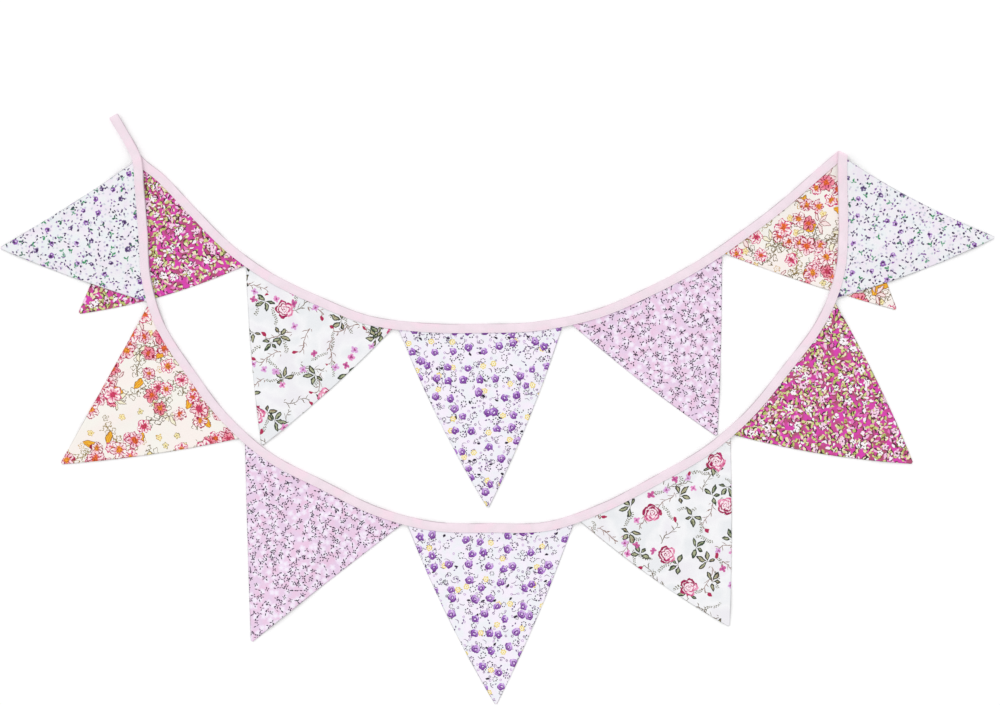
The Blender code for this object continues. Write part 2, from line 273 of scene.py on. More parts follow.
def shaded(value, stops):
    """Colours that run softly into each other as a value grows."""
    return value.node("ShaderNodeValToRGB", {"stops": stops}, {0: value})


def chosen(chance, stops):
    """One colour of several, by a cell's random number."""
    return chance.node("ShaderNodeValToRGB", {"stops": stops, "steps": "CONSTANT"}, {0: chance})


def some(chance, part):
    """1 in that part of the cells and 0 in the others."""
    return chance.below(part, HARD)


print("a print's cells are moved by", SEED_SHIFT, "m for each seed")

# %% [markdown]
# ### Petals, leaves, rings and twigs
#
# Each shape is a sum on its cell's coordinates that says how far a place is outside the rim, less
# than 0 inside. A filled shape is where that is less than 0, and a pen line where it is nearly 0.
# `soft` is how far the ink bleeds into the cotton. Petals repeat round a point, and leaves along a
# twig, because the plane is folded: one leaf is drawn, and the fold lays it out many times.

# %% Petals, leaves, rings and twigs
BLEED = 0.0004
SHARP = 0.00001
TWIG_WAVE = 2.6
GAPS_BEFORE = 20
BEYOND = 0.01


def polar(spot):
    """How far a place is from the middle, and in which direction."""
    across, up, _ = spot.parts()
    away = spot.node("ShaderNodeVectorMath", {"operation": "LENGTH"}, {0: spot}, out="Value")
    return away, up.sum("ARCTAN2", across)


def disc(spot, radius, soft=BLEED):
    return polar(spot)[0].below(radius, soft)


def petal_rim(spot, count, radius, notch):
    """How far a place is outside a flower's rim, less than 0 inside."""
    away, angle = polar(spot)
    return away - radius * (1 - notch + notch * abs((angle * (count / 2)).sum("COSINE")))


def petals(spot, count, radius, notch, soft=BLEED):
    return petal_rim(spot, count, radius, notch).below(0.0, soft)


def outline(rim, width, soft=BLEED):
    return abs(rim).below(width / 2, soft)


def leaf_rim(spot, length, width):
    """How far a place is outside a pointed leaf that runs from 0 to length along X."""
    along, up, _ = spot.parts()
    share = along / length
    return abs(up) - 2 * width * share * (1 - share)


def leaf(spot, length, width, soft=BLEED):
    return leaf_rim(spot, length, width).below(0.0, soft)


def whorl(spot, count):
    """Folds the plane so that one leaf along X is drawn count times round the middle."""
    away, angle = polar(spot)
    sector = FULL_TURN / count
    folded = (angle + FULL_TURN).sum("MODULO", sector) - sector / 2
    sockets = {"X": away * folded.sum("COSINE"), "Y": away * folded.sum("SINE")}
    return spot.node("ShaderNodeCombineXYZ", None, sockets)


def fan(spot, leaves, stalk=0.0):
    """The rim of leaves round one point. Each has an angle, a length and a width."""
    rim = None
    for angle, length, width in leaves:
        one = leaf_rim(spot.turned(-angle) + (-stalk, 0.0, 0.0), length, width)
        rim = one if rim is None else rim.sum("MINIMUM", one)
    return rim


def twig(spot, gap, reach, bend):
    """A curved twig along X: the places beside it, how far off its line they are, its ends."""
    along, up, _ = spot.parts()
    off = up - bend * (along * (TWIG_WAVE / reach)).sum("SINE")
    # The remainder repeats a leaf at each gap, on the other side half a gap further on. Twenty
    # gaps are added first, because a remainder works for positive values
    shifted = along + GAPS_BEFORE * gap + off.below(0.0, SHARP) * (gap / 2)
    step = shifted.sum("MODULO", gap)
    beside = spot.node("ShaderNodeCombineXYZ", None, {"X": step, "Y": abs(off)})
    return beside, off, abs(along).below(reach, BLEED)


def twig_leaves(beside, kept, length, width, slant):
    """The rim of the leaves that stand on a twig, out of reach past its ends."""
    return leaf_rim(beside.turned(-slant), length, width) + BEYOND * (1 - kept)


print("motifs bleed over", BLEED / MM, "mm")

# %% [markdown]
# ## Printed cotton
#
# Quilting cotton is a plain weave of fine yarn, about 0.5 mm from thread to thread. It has no
# gloss, only a slight fuzz. The weave is a product of two sines in a Bump node. A finer noise
# makes some yarns thicker, and a wider one keeps the cloth from looking ironed. Along its edges
# the colour gets a thin line of painted shade, standing in for the shadow at a pressed edge and
# broken up by a noise, so each sheet carries a second UV map, edge, that says how far its edge
# is. All prints share this base: it is a function that takes the one that draws the print.

# %% The cotton base
YARN = 0.0005
WEAVE_RELIEF = 0.00006
RIPPLE_RELIEF = 0.0009
WEAVE_STRENGTH = 0.6
RIPPLE_STRENGTH = 0.5
SLUB_SCALE = 700.0
RIPPLE_SCALE = 34.0
YARN_TONE = (0.9, 0.07)
ROUGHNESS = (0.82, 0.12)
ROUGHNESS_SCALE = 260.0
SPECULAR = 0.25
FUZZ = 0.12
FUZZ_ROUGHNESS = 0.6
SHADED_EDGE_WIDTH = 0.0009
PAINTED_EDGE_SHADE = (0.14, 0.4)
PAINTED_EDGE_SHADE_SCALE = 22.0


def cotton(name, draw, bias=0.0):
    """A woven cotton. draw gives its colour, and bias turns the weave on the cloth."""
    material = bpy.data.materials.new(name)
    material.use_nodes = True
    shader = Wire(material.node_tree.nodes["Principled BSDF"].outputs["BSDF"])
    cloth = shader.node("ShaderNodeUVMap", {"uv_map": "cloth"})
    across, along, _ = cloth.turned(bias).parts()
    threads = (across * (FULL_TURN / YARN)).sum("SINE") * (along * (FULL_TURN / YARN)).sum("SINE")
    slubs = cloth.noise(SLUB_SCALE)
    relief = {"Strength": WEAVE_STRENGTH, "Distance": WEAVE_RELIEF, "Height": 0.5 * threads + slubs}
    weave = shader.node("ShaderNodeBump", None, relief)
    unpressed = cloth.noise(RIPPLE_SCALE)
    relief = {"Strength": RIPPLE_STRENGTH, "Distance": RIPPLE_RELIEF, "Height": unpressed}
    ripple = shader.node("ShaderNodeBump", None, {**relief, "Normal": weave})
    # Painted shade: close to an edge the colour is darkened in a thin line, stronger in some
    # stretches than in others, standing in for the shadow of a pressed edge
    to_edge, _, _ = shader.node("ShaderNodeUVMap", {"uv_map": "edge"}).parts()
    faint, strong = PAINTED_EDGE_SHADE
    shade = faint + (strong - faint) * cloth.noise(PAINTED_EDGE_SHADE_SCALE).below(0.5, 0.2)
    darkest, lift = YARN_TONE
    tone = (darkest + lift * slubs) * (1 - shade * to_edge.below(SHADED_EDGE_WIDTH, SHADED_EDGE_WIDTH))
    smoothest, spread = ROUGHNESS
    shader.feed(
        {
            "Base Color": draw(cloth) * tone,
            "Roughness": smoothest + spread * cloth.noise(ROUGHNESS_SCALE),
            "Normal": ripple,
            "Specular IOR Level": SPECULAR,
            "Sheen Weight": FUZZ,
            "Sheen Roughness": FUZZ_ROUGHNESS,
        }
    )
    print(name, len(material.node_tree.nodes), "nodes")
    return material


# %% [markdown]
# ### The magenta print
#
# A dense meadow: on a strong magenta ground lie short brush strokes of lime, cream, white and
# pink, each with a dark brown stroke under it like a shadow, and loose white flowers on top.
# Four passes of leaves in cells of slightly different pitch overlap without showing a grid, and
# a wide noise leaves some open patches of the ground. The inks have names and stand in a table,
# and where an ink is drawn by lot or runs into the next, each colour has the value it starts at.

# %% Magenta meadow
MEADOW = {
    "ground": ((0.42, ink(218, 64, 176)), (0.53, ink(204, 72, 148)), (0.64, ink(178, 80, 118))),
    "shadow": ((0.0, ink(82, 30, 44)), (0.45, ink(50, 28, 28)), (0.75, ink(146, 74, 66))),
    "paint": (
        (0.0, ink(208, 214, 136)),
        (0.24, ink(238, 228, 190)),
        (0.44, ink(252, 240, 248)),
        (0.64, ink(244, 190, 224)),
        (0.78, ink(182, 192, 104)),
        (0.9, ink(232, 116, 190)),
    ),
    "flower": ((0.0, ink(253, 246, 250)), (0.7, ink(250, 212, 234))),
    "flower shadow": ink(84, 34, 50),
    "eye": ink(88, 44, 50),
}
STROKES = (
    # seed, pitch, length, width, part of the cells
    (1, 0.0074, 0.0068, 0.0031, 0.72),
    (2, 0.0068, 0.0054, 0.0026, 0.58),
    (3, 0.0082, 0.0066, 0.0036, 0.62),
    (4, 0.0060, 0.0040, 0.0022, 0.50),
)


def brush_strokes(colour, drawn):
    """Four passes of strokes, each over a dark one that is moved a little."""
    for seed, pitch, length, width, part in STROKES:
        spot, middle, first, second, third = scatter(drawn, pitch, 0.9, seed)
        stroke = spot.turned(first * FULL_TURN) + (length / 2, 0.0, 0.0)
        shown = (third + 1.3 * (middle.noise(44.0) - 0.5)).below(part, 0.001)
        under = leaf(stroke + (0.0007, width * 0.46, 0.0), length * 1.1, width)
        colour = colour.mix(chosen(first, MEADOW["shadow"]), under * shown)
        colour = colour.mix(chosen(second, MEADOW["paint"]), leaf(stroke, length, width) * shown)
    return colour


def magenta_print(cloth):
    """The strokes, then loose flowers of five and of four petals."""
    colour = shaded(cloth.noise(85.0), MEADOW["ground"])
    colour = brush_strokes(colour, by_hand(cloth, 0.0017, 260.0))
    loose = by_hand(cloth, 0.0034, 190.0)
    for seed, pitch, count in ((5, 0.0245, 5), (6, 0.0305, 4)):
        spot, _, first, second, third = scatter(loose, pitch, 0.9, seed)
        flower = spot.turned(first * FULL_TURN)
        radius = 0.0036 + 0.0018 * third
        shown = some(second, 0.72)
        under = petals(flower + (0.0005, 0.0007, 0.0), count, radius, 0.3)
        colour = colour.mix(MEADOW["flower shadow"], under * shown)
        body = petals(flower, count, radius, 0.5)
        colour = colour.mix(chosen(first, MEADOW["flower"]), body * shown)
        colour = colour.mix(MEADOW["eye"], disc(flower + (0.0003, 0.0, 0.0), 0.0013) * shown)
    return colour


cottons = {"magenta": cotton("cotton_magenta", magenta_print)}

# %% [markdown]
# ### The rose print
#
# White cotton with faint cool blotches. Every few centimetres stands a crimson rose, with fans of
# pointed olive leaves, thin brown twigs, small lilac flowers and fern drawn in specks.
# The print is built from the ground up, as a printer lays one colour over the other: each helper
# takes the colour so far and gives it back with its own motif on top.

# %% Inks, twigs, leaves and little flowers of the rose print
GARDEN = {
    "ground": ((0.36, ink(236, 238, 241)), (0.5, ink(246, 246, 248)), (0.66, ink(240, 238, 243))),
    "fern": ink(120, 118, 96),
    "twig": ((0.0, ink(142, 108, 96)), (0.5, ink(112, 96, 78))),
    "bud": ink(176, 40, 84),
    "stalk": ink(92, 84, 62),
    "leaf": ((0.0, ink(116, 120, 90)), (0.3, ink(70, 94, 66)), (0.65, ink(146, 126, 100))),
    "shine": ink(188, 192, 156),
    "leaf outline": ink(42, 48, 38),
    "lilac": ((0.0, ink(222, 168, 220)), (0.5, ink(232, 150, 204)), (0.78, ink(204, 96, 158))),
    "lilac eye": ink(168, 64, 128),
    "petal": ink(252, 232, 240),
    "petal edge": ((0.3, ink(158, 24, 80)), (0.5, ink(200, 58, 122)), (0.8, ink(240, 158, 192))),
    "heart": ink(160, 22, 72),
}
ROSE_FANS = (
    # Seed, pitch and part of the cells, then the angle, length and width of each leaf
    (
        (13, 0.047, 0.74),
        ((0.1, 0.0135, 0.0056), (1.2, 0.0115, 0.005), (-1.0, 0.012, 0.0048), (2.4, 0.009, 0.004)),
    ),
    (
        (15, 0.056, 0.7),
        ((0.4, 0.0125, 0.0052), (-0.7, 0.0105, 0.0044), (2.9, 0.0115, 0.005), (1.6, 0.008, 0.0036)),
    ),
)


def fern_and_twigs(colour, drawn):
    """Fern in specks, and brown twigs that end in a crimson bud."""
    fern, _, first, second, _ = scatter(drawn, 0.027, 0.85, 11)
    beside, _, kept = twig(fern.turned(first * FULL_TURN), 0.0027, 0.012, 0.002)
    specks = twig_leaves(beside, kept, 0.0026, 0.0013, 0.9).below(0.0, 0.0003)
    colour = colour.mix(GARDEN["fern"], specks * some(second, 0.66))

    long_twig, _, first, second, _ = scatter(drawn, 0.039, 0.85, 12)
    turned = long_twig.turned(first * FULL_TURN)
    beside, off, kept = twig(turned, 0.0098, 0.0175, 0.0032)
    shown = some(second, 0.75)
    brown = chosen(first, GARDEN["twig"])
    colour = colour.mix(brown, outline(off, 0.0009) * kept * shown)
    leaves = twig_leaves(beside, kept, 0.0074, 0.0009, 0.8).below(0.0, BLEED)
    colour = colour.mix(brown, leaves * shown)
    bud = (turned + (-0.0178, 0.0026, 0.0)).turned(0.9)
    return colour.mix(GARDEN["bud"], leaf(bud + (0.0026, 0.0, 0.0), 0.0078, 0.0046) * shown)


def leaf_fans(colour, drawn):
    """Olive leaves on thin stalks, with a dark outline and a shine that a noise breaks up."""
    for (seed, pitch, part), leaves in ROSE_FANS:
        spot, _, first, second, third = scatter(drawn, pitch, 0.85, seed)
        branch = spot.turned(first * FULL_TURN)
        shown = some(third, part)
        rim = fan(branch, leaves, stalk=0.0024)
        stalks = fan(branch, [(angle, 0.006, 0.0008) for angle, _, _ in leaves]).below(0.0, BLEED)
        colour = colour.mix(GARDEN["stalk"], stalks * shown)
        colour = colour.mix(chosen(second, GARDEN["leaf"]), rim.below(0.0, BLEED) * shown)
        shine = rim.below(-0.0007, 0.0010) * branch.noise(330.0).below(0.54, 0.16)
        colour = colour.mix(GARDEN["shine"], shine * 0.8 * shown)
        colour = colour.mix(GARDEN["leaf outline"], outline(rim + 0.0003, 0.0014) * shown)
    return colour


def little_flowers(colour, drawn):
    """Lilac flowers, in clusters where a noise read at their cell's middle is low."""
    little, middle, first, second, _ = scatter(drawn, 0.0165, 0.85, 14)
    shown = some(first, 0.66) * some(middle.noise(24.0), 0.44)
    body = petals(little.turned(second * FULL_TURN), 4, 0.0048, 0.5, 0.0008)
    colour = colour.mix(chosen(second, GARDEN["lilac"]), body * shown)
    return colour.mix(GARDEN["lilac eye"], petals(little, 3, 0.0018, 0.6) * shown)


print("rose print:", len(GARDEN), "inks,", len(ROSE_FANS), "kinds of leaf fan")

# %% [markdown]
# The rose itself is three rounds of petals, the outer one first. Each petal is a pale disc with a
# crimson edge, which is what is left of it when a second disc, nearer to the middle, is taken
# away. The crimson is lighter on one side of the flower, as if a brush had run dry.

# %% The roses and the whole print
ROSE_ROUNDS = (
    # petals, distance of their middles and radius in metres, turn in radians
    (5, 0.0066, 0.0056, 0.0),
    (4, 0.0038, 0.0044, 0.7),
    (3, 0.0014, 0.0026, 0.3),
)


def roses(colour, cloth, drawn):
    spot, _, first, _, third = scatter(by_hand(drawn, 0.0016, 260.0), 0.055, 0.7, 16)
    bloom = spot.turned(first * FULL_TURN)
    shown = some(third, 0.48)
    side, _, _ = bloom.parts()
    crimson = shaded(cloth.noise(190.0) + side * 36.0 - 0.14, GARDEN["petal edge"])
    for count, away, radius, turn in ROSE_ROUNDS:
        petal = whorl(bloom.turned(turn), count)
        body = disc(petal + (-away, 0.0, 0.0), radius) * shown
        inner = disc(petal + (-away * 0.68, 0.0004, 0.0), radius * 0.84)
        colour = colour.mix(GARDEN["petal"], body)
        colour = colour.mix(crimson, body * (1 - inner))
    return colour.mix(GARDEN["heart"], disc(bloom, 0.0010) * shown)


def rose_print(cloth):
    colour = shaded(cloth.noise(26.0), GARDEN["ground"])
    drawn = by_hand(cloth, 0.0024, 110.0)
    for motif in (fern_and_twigs, leaf_fans, little_flowers):
        colour = motif(colour, drawn)
    return roses(colour, cloth, drawn)


cottons["rose"] = cotton("cotton_rose", rose_print)

# %% [markdown]
# ### The pansy print
#
# A lively small print: purple pansies with a dark lower half and a pale eye, little yellow
# flowers, flowers drawn with dots alone, black dashes, fine tendrils and tiny rings.
# A dotted circle is a thin ring times a wave that goes round it, and a tendril is a parabola.

# %% Inks and small marks of the pansy print
PANSY = {
    "ground": ((0.4, ink(248, 240, 252)), (0.62, ink(241, 242, 248))),
    "ring": ((0.0, ink(148, 126, 160)), (0.5, ink(200, 172, 212))),
    "tendril": ((0.0, ink(142, 122, 152)), (0.6, ink(96, 74, 108))),
    "dots": ink(52, 42, 62),
    "dash": ink(42, 32, 52),
    "sprig": ink(96, 66, 122),
    "yellow": ink(240, 216, 120),
    "cream": ink(254, 250, 232),
    "gold": ink(236, 206, 92),
    "petal": ((0.0, ink(182, 128, 212)), (0.4, ink(166, 112, 202)), (0.7, ink(196, 150, 222))),
    "cheek": ink(222, 196, 238),
    "lower half": ink(118, 56, 146),
    "mouth": ink(94, 40, 122),
    "eye": ink(244, 232, 250),
}


def small_marks(colour, drawn):
    """Rings, tendrils, dotted circles, dashes and pairs of leaves, each in cells of its own."""
    rings, _, first, second, _ = scatter(drawn, 0.0076, 0.9, 21)
    ring = outline(polar(rings)[0] - 0.0012, 0.0009) * some(first, 0.5)
    colour = colour.mix(chosen(second, PANSY["ring"]), ring)

    tendril, _, first, second, _ = scatter(drawn, 0.0118, 0.9, 22)
    along, up, _ = tendril.turned(first * FULL_TURN).parts()
    hook = outline(up - along * along * 150.0, 0.0009) * abs(along).below(0.0034, 0.0006)
    colour = colour.mix(chosen(first, PANSY["tendril"]), hook * some(second, 0.6))

    dotted, _, first, second, _ = scatter(drawn, 0.0142, 0.85, 23)
    away, angle = polar(dotted)
    beads = (angle * 7).sum("SINE").below(0.1, 0.4)
    circle = outline(away - (0.0022 + 0.0018 * second), 0.0014) * beads
    colour = colour.mix(PANSY["dots"], circle * some(first, 0.72))

    dash, _, first, second, _ = scatter(drawn, 0.0205, 0.9, 24)
    stroke = dash.turned(1.4 * (first - 0.5) + 0.45) + (0.0026, 0.0, 0.0)
    colour = colour.mix(PANSY["dash"], leaf(stroke, 0.0056, 0.0028) * some(second, 0.5))

    sprig, _, first, second, _ = scatter(drawn, 0.0188, 0.9, 27)
    pair = whorl(sprig.turned(first * FULL_TURN), 2) + (-0.0006, 0.0, 0.0)
    return colour.mix(PANSY["sprig"], leaf(pair, 0.0030, 0.0018) * some(second, 0.62))


print("pansy print:", len(PANSY), "inks")


# %% The flowers and the whole print
def yellow_flowers(colour, drawn):
    sunny, _, first, second, _ = scatter(drawn, 0.0288, 0.8, 25)
    shown = some(second, 0.74)
    body = petals(sunny.turned(first), 6, 0.0040, 0.3, 0.0006)
    colour = colour.mix(PANSY["yellow"], body * shown)
    colour = colour.mix(PANSY["cream"], disc(sunny, 0.0021) * shown)
    return colour.mix(PANSY["gold"], disc(sunny, 0.0010) * shown)


def pansies(colour, cloth):
    """Each pansy: a round body, a cheek, the dark half outside a disc, a mouth and an eye."""
    pansy, _, first, second, third = scatter(by_hand(cloth, 0.0021, 150.0), 0.0214, 0.75, 26)
    face = pansy.turned((first - 0.5) * 1.3)
    shown = some(third, 0.86)
    size = 0.0046 + 0.0011 * second
    body = petals(face, 5, size, 0.14, 0.0006) * shown
    colour = colour.mix(chosen(second, PANSY["petal"]), body)
    colour = colour.mix(PANSY["cheek"], disc(face + (0.0012, -0.0026, 0.0), 0.0019, 0.0010) * body)
    lower = 1 - disc(face + (0.0004, -0.0014, 0.0), 0.0044, 0.0010)
    colour = colour.mix(PANSY["lower half"], lower * body)
    mouth = outline(petal_rim(face + (0.0, 0.0002, 0.0), 3, 0.0022, 0.3), 0.0010)
    colour = colour.mix(PANSY["mouth"], mouth * body)
    return colour.mix(PANSY["eye"], leaf(face + (0.0013, 0.0007, 0.0), 0.0026, 0.0013) * body)


def pansy_print(cloth):
    colour = shaded(cloth.noise(60.0), PANSY["ground"])
    drawn = by_hand(cloth, 0.0011, 210.0)
    return pansies(yellow_flowers(small_marks(colour, drawn), drawn), cloth)


cottons["pansy"] = cotton("cotton_pansy", pansy_print)

# %% [markdown]
# ### The ditsy print
#
# Soft white blossoms cover a pale lilac ground so closely that they nearly touch. Over them lie
# tiny dark sprigs, each a whorl of two to four short dashes, which read as specks from a step
# away. Each kind of sprig has cells of its own, so that they fall in no order.

# %% Ditsy blossom
DITSY = {
    "ground": ((0.38, ink(233, 208, 234)), (0.52, ink(237, 207, 232)), (0.68, ink(238, 202, 229))),
    "petal": ink(242, 224, 245),
    "middle": ink(247, 238, 251),
    "dash": ((0.0, ink(34, 22, 46)), (0.5, ink(58, 36, 70))),
}
SPRIGS = (
    # seed, pitch, dashes, length, gap in the middle
    (33, 0.0094, 3, 0.0034, 0.0003),
    (34, 0.0108, 2, 0.0040, 0.0002),
    (35, 0.0120, 4, 0.0028, 0.0004),
)


def ditsy_print(cloth):
    colour = shaded(cloth.noise(70.0), DITSY["ground"])
    drawn = by_hand(cloth, 0.0012, 220.0)
    for seed, pitch, part in ((31, 0.0112, 0.9), (32, 0.0138, 0.75)):
        spot, _, first, second, _ = scatter(drawn, pitch, 0.8, seed)
        flower = spot.turned(first * FULL_TURN)
        shown = some(second, part)
        colour = colour.mix(DITSY["petal"], petals(flower, 5, 0.0044, 0.3, 0.0018) * shown)
        colour = colour.mix(DITSY["middle"], petals(flower, 5, 0.0025, 0.3, 0.0016) * shown)
    for seed, pitch, count, length, gap in SPRIGS:
        spot, _, first, second, _ = scatter(drawn, pitch, 0.8, seed)
        sprig = whorl(spot.turned(first * FULL_TURN), count) + (-gap, 0.0, 0.0)
        dash = leaf(sprig, length, 0.0013, 0.0003) * some(second, 0.66)
        colour = colour.mix(chosen(second, DITSY["dash"]), dash)
    return colour


cottons["ditsy"] = cotton("cotton_ditsy", ditsy_print)

# %% [markdown]
# ### The line flower print
#
# Pen and wash on cream: flowers are drawn as pink and crimson outlines with a wash inside, some
# round an orange eye, with amber buds, leaves drawn in outline and olive sprigs of small open
# flowers. An outline is the place where the distance to the rim is nearly nothing.

# %% Inks, sprigs, buds and leaves of the line flower print
PEN = {
    "ground": ((0.4, ink(250, 241, 236)), (0.62, ink(247, 244, 237))),
    "sprig": ((0.0, ink(112, 92, 46)), (0.4, ink(150, 124, 54)), (0.6, ink(96, 80, 52))),
    "small wash": ink(252, 236, 176),
    "small line": ((0.0, ink(196, 150, 40)), (0.5, ink(138, 122, 70))),
    "bud": ink(248, 190, 48),
    "bud streak": ink(222, 140, 32),
    "bud line": ink(140, 88, 40),
    "leaf wash": ((0.0, ink(250, 228, 226)), (0.5, ink(246, 240, 214))),
    "leaf line": ((0.0, ink(150, 72, 78)), (0.5, ink(118, 92, 56))),
    "line": ((0.0, ink(170, 22, 74)), (0.4, ink(206, 46, 112)), (0.75, ink(150, 24, 56))),
    "wash": ((0.0, ink(253, 226, 232)), (0.25, ink(255, 247, 245)), (0.8, ink(246, 154, 170))),
    "glow": ((0.0, ink(232, 72, 128)), (0.5, ink(238, 84, 96))),
    "heart": ((0.0, ink(251, 158, 36)), (0.4, ink(218, 52, 106)), (0.62, ink(247, 112, 40))),
    "heart line": ink(150, 60, 40),
}
PEN_LEAVES = ((0.2, 0.015, 0.0052), (1.1, 0.013, 0.0046), (-0.8, 0.014, 0.0048), (2.2, 0.01, 0.004))


def olive_sprigs(colour, drawn):
    """Twigs with open flowers on short stalks, and small loose flowers drawn in gold."""
    for seed, pitch, part in ((41, 0.034, 0.75), (48, 0.041, 0.7)):
        spot, _, first, second, _ = scatter(drawn, pitch, 0.85, seed)
        beside, off, kept = twig(spot.turned(first * FULL_TURN), 0.0104, 0.0165, 0.0036)
        line = chosen(second, PEN["sprig"])
        shown = some(second, part)
        heads = petal_rim(beside + (-0.0042, -0.0046, 0.0), 4, 0.0038, 0.45)
        colour = colour.mix(line, outline(heads, 0.0009) * kept * shown)
        colour = colour.mix(line, outline(off, 0.0010) * kept * shown)
        stalk = twig_leaves(beside, kept, 0.0046, 0.0008, 0.85).below(0.0, BLEED)
        colour = colour.mix(line, stalk * shown)

    spot, _, first, second, _ = scatter(drawn, 0.023, 0.9, 45)
    small = petal_rim(spot.turned(first * FULL_TURN), 5, 0.0042, 0.5)
    colour = colour.mix(PEN["small wash"], small.below(0.0, BLEED) * some(second, 0.26))
    line = (outline(small, 0.0008) + disc(spot, 0.0010)) * some(second, 0.42)
    return colour.mix(chosen(first, PEN["small line"]), line)


def buds_and_leaves(colour, drawn):
    """Amber buds with streaks along them, and fans of leaves drawn in outline."""
    spot, _, first, second, _ = scatter(drawn, 0.038, 0.85, 42)
    bud = spot.turned(first * FULL_TURN)
    rim = leaf_rim(bud + (0.0085, 0.0, 0.0), 0.017, 0.0088)
    _, up, _ = bud.parts()
    streaks = (up * 2200.0).sum("SINE").below(-0.2, 0.5)
    shown = some(second, 0.55)
    colour = colour.mix(PEN["bud"], rim.below(0.0, BLEED) * shown)
    colour = colour.mix(PEN["bud streak"], streaks * rim.below(-0.0004, BLEED) * shown)
    colour = colour.mix(PEN["bud line"], outline(rim, 0.0008) * shown)

    spot, _, first, second, _ = scatter(drawn, 0.044, 0.85, 49)
    rim = fan(spot.turned(first * FULL_TURN), PEN_LEAVES, stalk=0.002)
    shown = some(second, 0.7)
    colour = colour.mix(chosen(first, PEN["leaf wash"]), rim.below(0.0, BLEED) * shown)
    return colour.mix(chosen(first, PEN["leaf line"]), outline(rim, 0.0009) * shown)


print("line flower print:", len(PEN), "inks")

# %% [markdown]
# The flowers crowd into bunches, because a noise read at each cell's middle decides which cells
# have one. A petal is a disc, laid out round the middle by a whorl, and a larger disc fills the
# flower. The glow is a darker wash that fades from the middle outwards and is broken by a noise.

# %% The bunches of flowers and the whole print
BUNCHES = (
    # seed, pitch, radius, petals, part of the cloth
    (43, 0.0215, 0.0094, 5, 0.475),
    (44, 0.0245, 0.0084, 6, 0.465),
    (47, 0.0295, 0.0116, 5, 0.465),
)


def flower_bunches(colour, loose):
    """Flowers of five or six petals: wash, glow, outline, veins and heart."""
    for seed, pitch, radius, count, part in BUNCHES:
        spot, middle, first, second, third = scatter(loose, pitch, 0.85, seed)
        flower = spot.turned(first * FULL_TURN)
        away, _ = polar(flower)
        shown = some(middle.noise(20.0), part)
        line = chosen(second, PEN["line"])
        petal = whorl(flower, count)
        rim = polar(petal + (-radius * 0.62, 0.0, 0.0))[0] - radius * 0.38
        filled = away.below(radius * 0.5, BLEED) * shown
        inside = (rim.below(0.0, BLEED) * shown).sum("MAXIMUM", filled)
        colour = colour.mix(chosen(second, PEN["wash"]), inside)
        glow = away.below(radius * 0.6, radius * 0.7) * inside * loose.noise(240.0).below(0.52, 0.2)
        colour = colour.mix(chosen(first, PEN["glow"]), glow * 0.8)
        colour = colour.mix(line, outline(rim, 0.0010) * shown)
        vein = leaf(petal + (-radius * 0.2, 0.0, 0.0), radius * 0.66, 0.0015)
        colour = colour.mix(line, vein * shown)
        heart = disc(flower, radius * 0.34, 0.0012) * shown
        colour = colour.mix(chosen(third, PEN["heart"]), heart)
        heart_rim = petal_rim(flower, 7, radius * 0.24, 0.5)
        colour = colour.mix(PEN["heart line"], outline(heart_rim, 0.0009) * shown)
    return colour


def blossom_print(cloth):
    colour = shaded(cloth.noise(24.0), PEN["ground"])
    drawn = by_hand(cloth, 0.0022, 150.0)
    colour = buds_and_leaves(olive_sprigs(colour, drawn), drawn)
    return flower_bunches(colour, by_hand(drawn, 0.0018, 300.0))


cottons["blossom"] = cotton("cotton_blossom", blossom_print)

# %% [markdown]
# ### The violet print
#
# The sparsest print: white cotton with pale lilac and blue blotches, tiny purple buds, seed-like
# dark dashes by ones, twos and threes, and small green leaves.

# %% Violet buds
VIOLET = {
    "ground": ((0.36, ink(236, 240, 243)), (0.5, ink(241, 240, 244)), (0.66, ink(240, 232, 243))),
    "speck": ((0.0, ink(204, 196, 220)), (0.5, ink(206, 212, 220))),
    "leaf": ((0.0, ink(60, 148, 100)), (0.35, ink(110, 166, 138)), (0.5, ink(40, 98, 76))),
    "dash": ((0.0, ink(88, 60, 112)), (0.3, ink(60, 48, 82)), (0.55, ink(140, 98, 164))),
    "bud": ((0.0, ink(146, 92, 176)), (0.4, ink(98, 78, 128)), (0.62, ink(172, 126, 198))),
    "bud shade": ink(68, 40, 90),
    "bud light": ink(222, 206, 236),
}
VIOLET_LEAVES = ((0.0, 0.0050, 0.0025), (1.5, 0.0040, 0.0020), (-2.2, 0.0032, 0.0016))
DASHES = (
    # seed, pitch, part of the cells, count, length, width
    (53, 0.0134, 0.8, 2, 0.0038, 0.0020),
    (54, 0.0160, 0.78, 3, 0.0034, 0.0018),
    (56, 0.0140, 0.5, 1, 0.0036, 0.0022),
)


